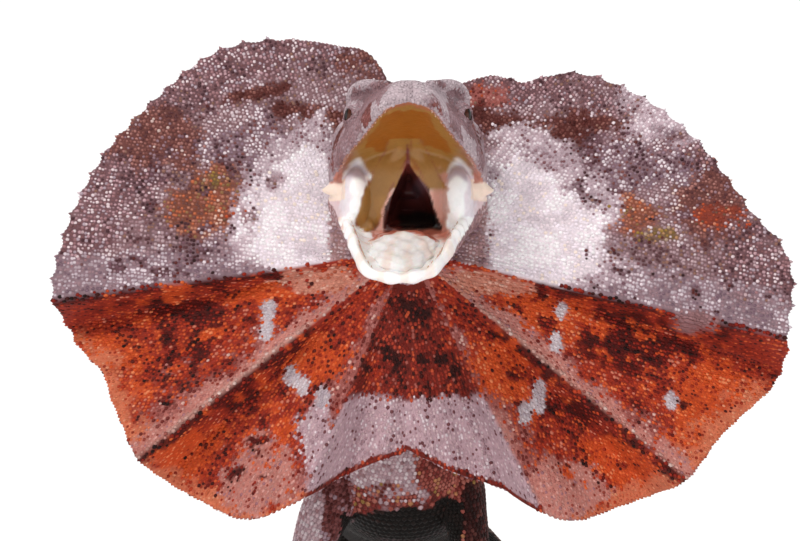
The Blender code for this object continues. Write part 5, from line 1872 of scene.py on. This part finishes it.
@dataclass
class Body:
    """Neck, trunk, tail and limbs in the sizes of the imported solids."""

    spine: tuple = (
        (0, -4, 152, 17, 16), (0, 14, 129, 15.5, 15.5), (-1, 29, 106, 17, 18),
        (-2, 43, 83, 21.5, 21), (-2, 64, 63, 24, 24), (-2, 92, 57, 27.5, 22),
        (-1, 122, 50, 28, 21), (0, 148, 43, 23.5, 18.5), (0, 170, 38.5, 19.5, 16.5),
        (0, 192, 32, 14.5, 13.5), (1, 226, 21.5, 11, 10.6), (4, 262, 12.4, 9.2, 9.2),
        (9, 300, 8.1, 8.1, 8.1), (14, 350, 6.9, 6.9, 6.9), (12, 410, 5.6, 5.6, 5.6),
        (0, 470, 4.5, 4.5, 4.5), (-15, 530, 3.5, 3.5, 3.5), (-20, 585, 2.6, 2.6, 2.6),
        (-12, 635, 1.8, 1.8, 1.8), (2, 680, 1, 1, 1),
    )
    arm_right: tuple = (
        (-9, 50, 70, 9.5, 9.5), (-19, 51, 63, 9.3, 9.3), (-27.5, 53, 48, 8.2, 8.4),
        (-33, 55, 33, 6.4, 6.6), (-35.5, 46, 20, 6.2, 5.8), (-37, 36, 8.6, 4.3, 3.8),
    )
    arm_left: tuple = (
        (8, 50, 69, 8.6, 8.6), (16, 51, 61, 8.2, 8.4), (19.5, 54, 47, 6.6, 7.2),
        (21.5, 57, 32, 5.8, 6.2), (22, 47, 19, 5.8, 5.4), (22.5, 37, 8.6, 4.2, 3.7),
    )
    leg: tuple = (
        (6, 170, 36, 12, 11), (18, 167, 32, 12, 11), (33, 161, 21, 9.6, 9),
        (46, 152, 16.5, 7.6, 7.2), (48, 171, 13, 6.8, 6.4), (48, 190, 8.4, 4.7, 4.2),
    )
    tail_from: float = 11.2
    voxel: float = 1
    paw_voxel: float = 0.55

    def __post_init__(self) -> None:
        """Sets up the paths."""
        self.back = Sweep(self.spine, (1, 0, 0), 2.2)
        upright = (0, 1, 0)
        legs = (self.leg, tuple((-row[0], *row[1:]) for row in self.leg))
        self.limbs = [Sweep(rows, upright) for rows in (self.arm_right, self.arm_left, *legs)]
        self.paws = [
            Paw(self.arm_right[-1], 8, Side.RIGHT, HAND), Paw(self.arm_left[-1], 4, Side.LEFT, HAND),
            Paw(legs[0][-1], 52, Side.LEFT, FOOT), Paw(legs[1][-1], 52, Side.RIGHT, FOOT),
        ]

    def trunk_shapes(self) -> list[Shape]:
        """Neck, trunk, root of the tail and limbs."""
        trunk = self.back.shape(0, self.tail_from + 0.3, 2, 48)
        return [trunk] + [limb.shape(0, 5, 1.5, 28) for limb in self.limbs]

    def neck_stub(self) -> Shape:
        """Top of the neck, which joins the head and sinks into the neck below."""
        rows = [(*row[:3], row[3] - sink, row[4] - sink) for row, sink in zip(self.spine[:3], (0, 0.2, 4))]
        return Sweep(tuple(rows), (1, 0, 0), 2.2).shape(0, 1.7, 2, 48)

    def tail_shape(self) -> Shape:
        """The free tail, in triangles.

        Returns:
            The closed form.
        """
        tube = self.back.shape(self.tail_from, 19, 2, 24)
        faces = []
        for face in tube.faces:
            faces += [face] if len(face) == 3 else [(face[0], face[1], face[2]), (face[0], face[2], face[3])]
        return Shape(tube.points, faces)

    def zones(self, points: Array, normals: Array) -> list[tuple]:
        """Colours of the body: banded brown back, pale flanks, rusty chest, and a black belly that also
        stands for painted shade under the body, low on the chest and inside the arm.

        Args:
            points: places on the body.
            normals: outward directions.

        Returns:
            Pairs of palette and mask.
        """
        x, y, z = points.T
        under = ramp(-normals[:, 2], 0.05, 0.35)
        blotch = value_noise(points * (1, 0.7, 1), 15, 51)
        tail = ramp(y, 185, 30)
        band = ramp(np.sin(y * math.tau / 27 + 3 * (blotch - 0.5)), 0.1, 0.5)
        ahead = ramp(-normals[:, 1], 0.1, 0.3) * ramp(y, 78, -8)
        limb = ease((np.abs(x) - np.interp(y, (40, 60, 140, 175), (17, 17, 30, 22))) / 3)
        fore = limb * (y < 90)
        seen = ramp(normals[:, 1], 0.4, -0.4)
        edge = 5 * (value_noise(points, 6, 52) - 0.5)
        return [
            (BACK_BROWN, np.ones(len(points))),
            (FLANK_PALE, ramp(blotch, 0.5, 0.15) * ramp(np.abs(normals[:, 2]), 0.75, -0.2)),
            (BACK_DARK, ramp(blotch, 0.42, -0.12) * (1 - tail)),
            (BACK_DARK, tail * band),
            (FLANK_PALE, 0.7 * tail * under),
            # Black underneath: the belly's own dark, deepened as painted shade under the body
            (BLACK_BELLY_AND_SHADE, under * ramp(y, 40, 12) * ramp(y, 165, -15)),
            # Front-facing skin behind the arms painted black: painted shade on the belly seen between the
            # arms
            (BLACK_BELLY_AND_SHADE, 0.95 * ramp(-normals[:, 1], 0.1, 0.3) * ramp(y, 95, 8) * (y < 180)),
            (CHEST_GREY, ahead),
            (CHEST_RUST, 0.9 * ahead * ease((x + 1 + edge) / 8)),
            (CHEST_RUST, 0.75 * ahead * ease((60 - z + edge) / 5)),
            # Lower chest painted black: painted shade under the chest, over the belly's own dark
            (BLACK_BELLY_AND_SHADE, ahead * ease((51 + 0.12 * x - z + edge) / 2.5) * (1 - fore)),
            (ARM_MAUVE, fore * (x < 0) * ahead),
            (CHEST_GREY, 0.9 * fore * seen * ease((-27 - x + 0.1 * (z - 40)) / 3) * (z > 16)),
            (ARM_BROWN, fore * (x > 0) * ramp(z, 62, -6)),
            # Inner side of the right arm low down painted black: painted shade between arm and body
            (BLACK_BELLY_AND_SHADE, 0.9 * fore * ramp(x, -24, 3) * (x < 0) * ramp(z, 50, -4)),
        ]


@dataclass
class Skin:
    """One skin over head, neck, trunk, tail and limbs, and the scales that cover it."""

    head: Head
    body: Body
    neck_step: float = 1.4
    trunk_step: float = 2
    tail_step: float = 1.9
    limb_step: float = 1.45
    paw_step: float = 1.2
    head_step: float = 1.22
    near_skin: float = 1.3
    longest_gap: float = 1.15
    overlap: float = 0.92
    ring_sides: int = 72
    tries: float = 7
    crowding: float = 0.86
    eye_ring: tuple = ((6.5, 10), (0.62, 1))
    nape: float = 12
    flat_lift: float = 0.24
    keeled_lift: float = 0.42
    stretch: tuple[float, float] = (1.06, 1.2)
    above_floor: float = 0.02
    whole_length: float = 760
    shape: Shape = field(init=False)
    groups: Array = field(init=False)
    normals: Array = field(init=False)
    wet: Array = field(init=False)

    def build(self) -> Object:
        """Joins the flesh into one mesh with its markings and its moist mouth.

        Returns:
            The skin.
        """
        head = remeshed([*self.head.shapes(), self.body.neck_stub()], self.head.voxel, 3)
        head.points = self.head.open_lids(head.points)
        head.points = self.head.relief(head.points, vertex_normals(head))
        trunk = remeshed(self.body.trunk_shapes(), self.body.voxel, 4)
        paws = remeshed([s for paw in self.body.paws for s in paw.shapes()], self.body.paw_voxel, 2)
        tail = self.body.tail_shape()
        parts = [head, trunk, tail, paws]
        self.shape = joined(parts)
        self.shape.points[:, 2] = np.maximum(self.shape.points[:, 2], self.above_floor)
        self.groups = np.repeat(np.arange(4), [len(part.points) for part in parts])
        self.normals = vertex_normals(self.shape)
        LOG.info("skin: %d triangles", len(self.shape.faces))
        return self.dress()

    def dress(self) -> Object:
        """Makes the object, its colours and its two finishes.

        Returns:
            The skin.
        """
        points, normals = self.shape.points, self.normals
        colours = mix_zones(self.body.zones(points, normals), points, 3).skin
        is_head = self.groups == 0
        zones = self.head.zones(points[is_head], normals[is_head])
        colours[is_head] = mix_zones(zones, points[is_head], 4).skin
        self.wet = np.zeros(len(points), bool)
        self.wet[is_head] = self.head.inside_mouth(points[is_head])
        colours[self.wet] = self.head.lining_colours(points[self.wet])
        made = dressed("skin", self.shape, colours, BARE_SKIN)
        made.data.materials.append(material_of(WET_FLESH))
        corners = np.asarray(self.shape.faces)
        moist = self.wet[corners].sum(axis=1) >= 2
        made.data.polygons.foreach_set("material_index", moist.astype(np.int32))
        names = ["head", "lower_jaw", "mouth_lining", "neck", "shoulders", "trunk", "hips"]
        names += [f"tail_{i}" for i in range(1, 6)]
        names += [f"{part}_{side}" for side in ("left", "right")
                  for part in ("upper_arm", "forearm", "hand", "thigh", "shin", "foot")]
        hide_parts(*names)
        return made

    def tree(self, groups: tuple[int, ...]) -> BVHTree:
        """A search tree over some of the skin's parts.

        Args:
            groups: numbers of the parts.

        Returns:
            The tree.
        """
        corners = np.asarray(self.shape.faces)
        kept = corners[np.isin(self.groups[corners[:, 0]], groups)]
        return BVHTree.FromPolygons([Vector(p) for p in self.shape.points], kept.tolist())

    def lattice(self, sweep: Sweep, first: float, last: float, step: float, tree: BVHTree) -> Roots:
        """Roots of scales in staggered rings round one limb or the trunk.

        Args:
            sweep: the tube that the rows run round.
            first: station where the rows start.
            last: station where they end.
            step: width of a scale in millimetres.
            tree: search tree of the skin that they sit on.

        Returns:
            Roots, directions away from the skin and towards the tail, sizes and places on the unwrap.
        """
        place, end, row = sweep.length(first), sweep.length(last), 0
        rows: list[tuple] = []
        while place < end:
            ring, way = (values[0] for values in sweep.rings(np.array([place]), self.ring_sides))
            sides = np.linalg.norm(np.roll(ring, -1, axis=0) - ring, axis=1)
            girth = float(sides.sum())
            count = max(6, int(round(girth / step)))
            marks = (np.arange(count) + 0.5 * (row % 2)) / count * girth
            arc = np.concatenate([[0], np.cumsum(sides)])
            closed = np.concatenate([ring, ring[:1]])
            spots = np.stack([np.interp(marks % girth, arc, closed[:, axis]) for axis in range(3)], axis=1)
            for spot, mark in zip(spots, marks / girth):
                found, normal, _, distance = tree.find_nearest(Vector(spot))
                if found is not None and distance < self.near_skin:
                    rows.append((*found, *normal, *way, girth / count, place / self.whole_length, mark % 1))
            place += min(step, girth / count * self.longest_gap) * self.overlap
            row += 1
        data = np.array(rows)
        return {
            "roots": data[:, :3], "normals": data[:, 3:6], "ways": data[:, 6:9], "sizes": data[:, 9],
            "places": data[:, 10:12],
        }

    def scattered(self, groups: tuple[int, ...], spacing: float, seed: int, dry: bool = True) -> Roots:
        """Roots of scales spread evenly at random, closer round the eyes.

        Args:
            groups: parts of the skin to cover.
            spacing: usual distance between roots.
            seed: number of the random draw.
            dry: leaves out the mouth.

        Returns:
            Roots and directions away from the skin, and the spacing at each.
        """
        draw = np.random.default_rng(seed)
        corners = np.asarray(self.shape.faces)
        corners = corners[np.isin(self.groups[corners[:, 0]], groups)]
        if dry:
            corners = corners[~self.wet[corners].any(axis=1)]
        a, b, c = (self.shape.points[corners[:, i]] for i in range(3))
        area = np.linalg.norm(np.cross(b - a, c - a), axis=1) / 2
        count = int(area.sum() / spacing**2 * self.tries)
        pick = np.searchsorted(np.cumsum(area) / area.sum(), draw.random(count)).clip(0, len(area) - 1)
        u, v = draw.random(count), draw.random(count)
        flip = u + v > 1
        u, v = np.where(flip, 1 - u, u), np.where(flip, 1 - v, v)
        roots = a[pick] + u[:, None] * (b - a)[pick] + v[:, None] * (c - a)[pick]
        near = np.linalg.norm(np.column_stack([np.abs(roots[:, 0]), roots[:, 1:]]) - EYE_CENTRE, axis=1)
        sizes = spacing * np.interp(near, *self.eye_ring)
        taken: dict[tuple[int, int, int], list[int]] = {}
        kept = []
        keys = np.floor(roots / spacing).astype(int)
        for i in range(count):
            x, y, z = keys[i]
            limit = (sizes[i] * self.crowding) ** 2
            free = True
            for p, q, r in product((-1, 0, 1), repeat=3):
                for j in taken.get((x + p, y + q, z + r), ()):
                    gap = roots[i] - roots[j]
                    if gap[0] * gap[0] + gap[1] * gap[1] + gap[2] * gap[2] < limit:
                        free = False
                        break
                if not free:
                    break
            if free:
                taken.setdefault((x, y, z), []).append(i)
                kept.append(i)
        corner_normals = self.normals[corners[pick[kept]]]
        return {"roots": roots[kept], "normals": unit(corner_normals.sum(axis=1)), "sizes": sizes[kept]}

    def coats(self) -> list[Object]:
        """Scales of the trunk, tail, limbs, paws and head.

        Returns:
            One object for each coat.
        """
        made = []
        whole = self.tree((1, 2))
        back, limbs = self.body.back, self.body.limbs
        runs = {
            "scales_trunk": [(back, 0.15, 3.6, self.neck_step), (back, 3.63, 8.6, self.trunk_step)],
            "scales_tail": [(back, 8.62, 18.96, self.tail_step)],
            "scales_limbs": [(limb, 0.8, 4.9, self.limb_step) for limb in limbs],
        }
        for seed, (name, sweeps) in enumerate(runs.items()):
            found = [self.lattice(sweep, first, last, step, whole) for sweep, first, last, step in sweeps]
            for number, part in enumerate(found):
                part["places"] += (0.22 * number, 0)
            data = {key: np.concatenate([part[key] for part in found]) for key in found[0]}
            made.append(self.coat(name, data, Plate.KEELED, 100 + seed))
        paws = self.scattered((3,), self.paw_step, 201, dry=False)
        paws["ways"] = np.tile(np.array((0, -1, -0.4)), (len(paws["roots"]), 1))
        paws["places"] = paws["roots"][:, :2] / 260 + 0.4
        made.append(self.coat("scales_paws", paws, Plate.SMOOTH, 202))
        head = self.scattered((0,), self.head_step, 203)
        low = head["roots"][:, 1] < self.nape
        head = {key: values[low] for key, values in head.items()}
        forward, _ = pitched(self.head.palate_pitch)
        head["ways"] = np.tile(-forward, (len(head["roots"]), 1))
        turn = np.arctan2(head["roots"][:, 0], head["roots"][:, 2] - 160) / math.tau + 0.5
        head["places"] = np.column_stack([turn, (head["roots"][:, 1] + 70) / 90])
        made.append(self.coat("scales_head", head, Plate.SMOOTH, 204))
        return made

    def coat(self, name: str, data: Roots, plate: Plate, seed: int) -> Object:
        """One mesh of scales from their roots.

        Args:
            name: name of the piece.
            data: roots, directions, sizes and places on the unwrap.
            plate: form of each scale.
            seed: number of the random draw.

        Returns:
            The coat.
        """
        roots, normals = data["roots"], data["normals"]
        zones = self.head.zones if name == "scales_head" else self.body.zones
        look = mix_zones(zones(roots, normals), roots, seed)
        draw = np.random.default_rng(seed)
        size = data["sizes"] * look.fill * (0.9 + 0.2 * draw.random(len(roots)))
        lift = self.flat_lift if plate is Plate.SMOOTH else self.keeled_lift
        scales = Scales(
            roots, normals, data["ways"], size * self.stretch[0], size * self.stretch[1],
            size * lift * look.relief, look.scales, data["places"], plate,
        )
        made = scales.build(name)
        LOG.info("%s: %d scales", name, len(roots))
        return made

    def claws(self) -> Object:
        """The twenty claws as one piece.

        Returns:
            The claws.
        """
        shape = joined([claw for paw in self.body.paws for claw in paw.claws()])
        shape.points[:, 2] = np.maximum(shape.points[:, 2], self.above_floor)
        made = dressed("claws", shape, np.tile(linear("#3a2a22"), (len(shape.points), 1)), CLAW_HORN)
        return made


@dataclass
class Studio:
    """A pale floor without an edge in sight, broad soft lights and the camera at the photograph's angle."""

    paper: str = "#fbfafa"
    floor_radius_mm: float = 40000
    horizon_light: float = 1.08
    sky_light: float = 0.3
    band: tuple[float, float] = (0.26, 0.45)
    camera_place: tuple[float, float, float] = (-2.5, -900, 105)
    camera_pitch: float = 1.464
    sensor_mm: float = 36
    focal_pixels: float = 2839
    frame_pixels: float = 800

    def floor(self) -> None:
        """A round matt floor that runs to the horizon on all sides."""
        turns = np.arange(96) * math.tau / 96
        rim = np.column_stack([np.cos(turns), np.sin(turns), np.zeros(96)]) * self.floor_radius_mm
        made = make_object("paper_floor", Shape(rim, [tuple(range(96))]))
        paper = bpy.data.materials.new("matt_paper")
        paper.use_nodes = True
        shader = paper.node_tree.nodes["Principled BSDF"]
        shader.inputs["Base Color"].default_value = (*linear(self.paper), 1)
        shader.inputs["Roughness"].default_value = 0.9
        shader.inputs["Specular IOR Level"].default_value = 0.1
        made.data.materials.append(paper)

    def sun(self, name: str, bearing: float, rise: float, strength: float, spread: float, tint: str) -> None:
        """One broad light from far off.

        Args:
            name: name of the light.
            bearing: direction that it comes from, in degrees from straight ahead of the animal to its left.
            rise: height over the horizon in degrees.
            strength: light on a face square to it, in watts a square metre.
            spread: width of its disc in degrees.
            tint: colour.
        """
        light = bpy.data.lights.new(name, "SUN")
        light.energy, light.angle, light.color = strength, math.radians(spread), linear(tint)
        turn, up = math.radians(bearing), math.radians(rise)
        source = Vector((math.sin(turn) * math.cos(up), -math.cos(turn) * math.cos(up), math.sin(up)))
        made = bpy.data.objects.new(name, light)
        made.rotation_euler = (-source).to_track_quat("-Z", "Y").to_euler()
        bpy.context.scene.collection.objects.link(made)

    def air(self) -> None:
        """White surroundings, brightest near the horizon."""
        world = bpy.data.worlds.new("studio_air")
        world.use_nodes = True
        tree = world.node_tree
        place = add_node(tree, "ShaderNodeTexCoord", {}, {}).outputs["Generated"]
        parts = add_node(tree, "ShaderNodeSeparateXYZ", {}, {"Vector": place})
        low, high = self.band
        settings = {"From Min": low, "From Max": high, "To Min": self.horizon_light, "To Max": self.sky_light}
        glow = add_node(tree, "ShaderNodeMapRange", settings, {"Value": parts.outputs["Z"]})
        sky = tree.nodes["Background"]
        sky.inputs["Color"].default_value = (1, 1, 1, 1)
        tree.links.new(glow.outputs["Result"], sky.inputs["Strength"])
        bpy.context.scene.world = world

    def build(self) -> None:
        """Sets up floor, lights, surroundings and camera."""
        self.floor()
        self.air()
        self.sun("key", -35, 42, 1.3, 15, "#fffaf5")
        self.sun("top", 180, 84, 1.6, 40, "#ffffff")
        scene = bpy.context.scene
        scene.view_settings.view_transform = "Standard"
        lens = bpy.data.cameras.new("camera")
        lens.sensor_width = self.sensor_mm
        lens.lens = self.focal_pixels / self.frame_pixels * lens.sensor_width
        lens.clip_start, lens.clip_end = 0.05, 100
        made = bpy.data.objects.new("camera", lens)
        made.location = Vector((np.array(self.camera_place) + SHIFT * (1, 1, 0)) * MM)
        made.rotation_euler = (math.radians(90 + self.camera_pitch), 0, 0)
        scene.collection.objects.link(made)
        scene.camera = made


def main() -> None:
    """Builds the animal and the studio, and reports each piece."""
    logging.basicConfig(level=logging.INFO, format="%(message)s")
    head, body = Head(), Body()
    skin = Skin(head, body)
    pieces = [skin.build(), *skin.coats(), skin.claws(), *Frill().build(), head.teeth(), head.tongue()]
    pieces += [head.eyeball(side) for side in Side]
    for piece in pieces:
        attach(piece, "root")
        LOG.info("%s: %d faces", piece.name, len(piece.data.polygons))
    Studio().build()


if __name__ == "__main__":
    main()
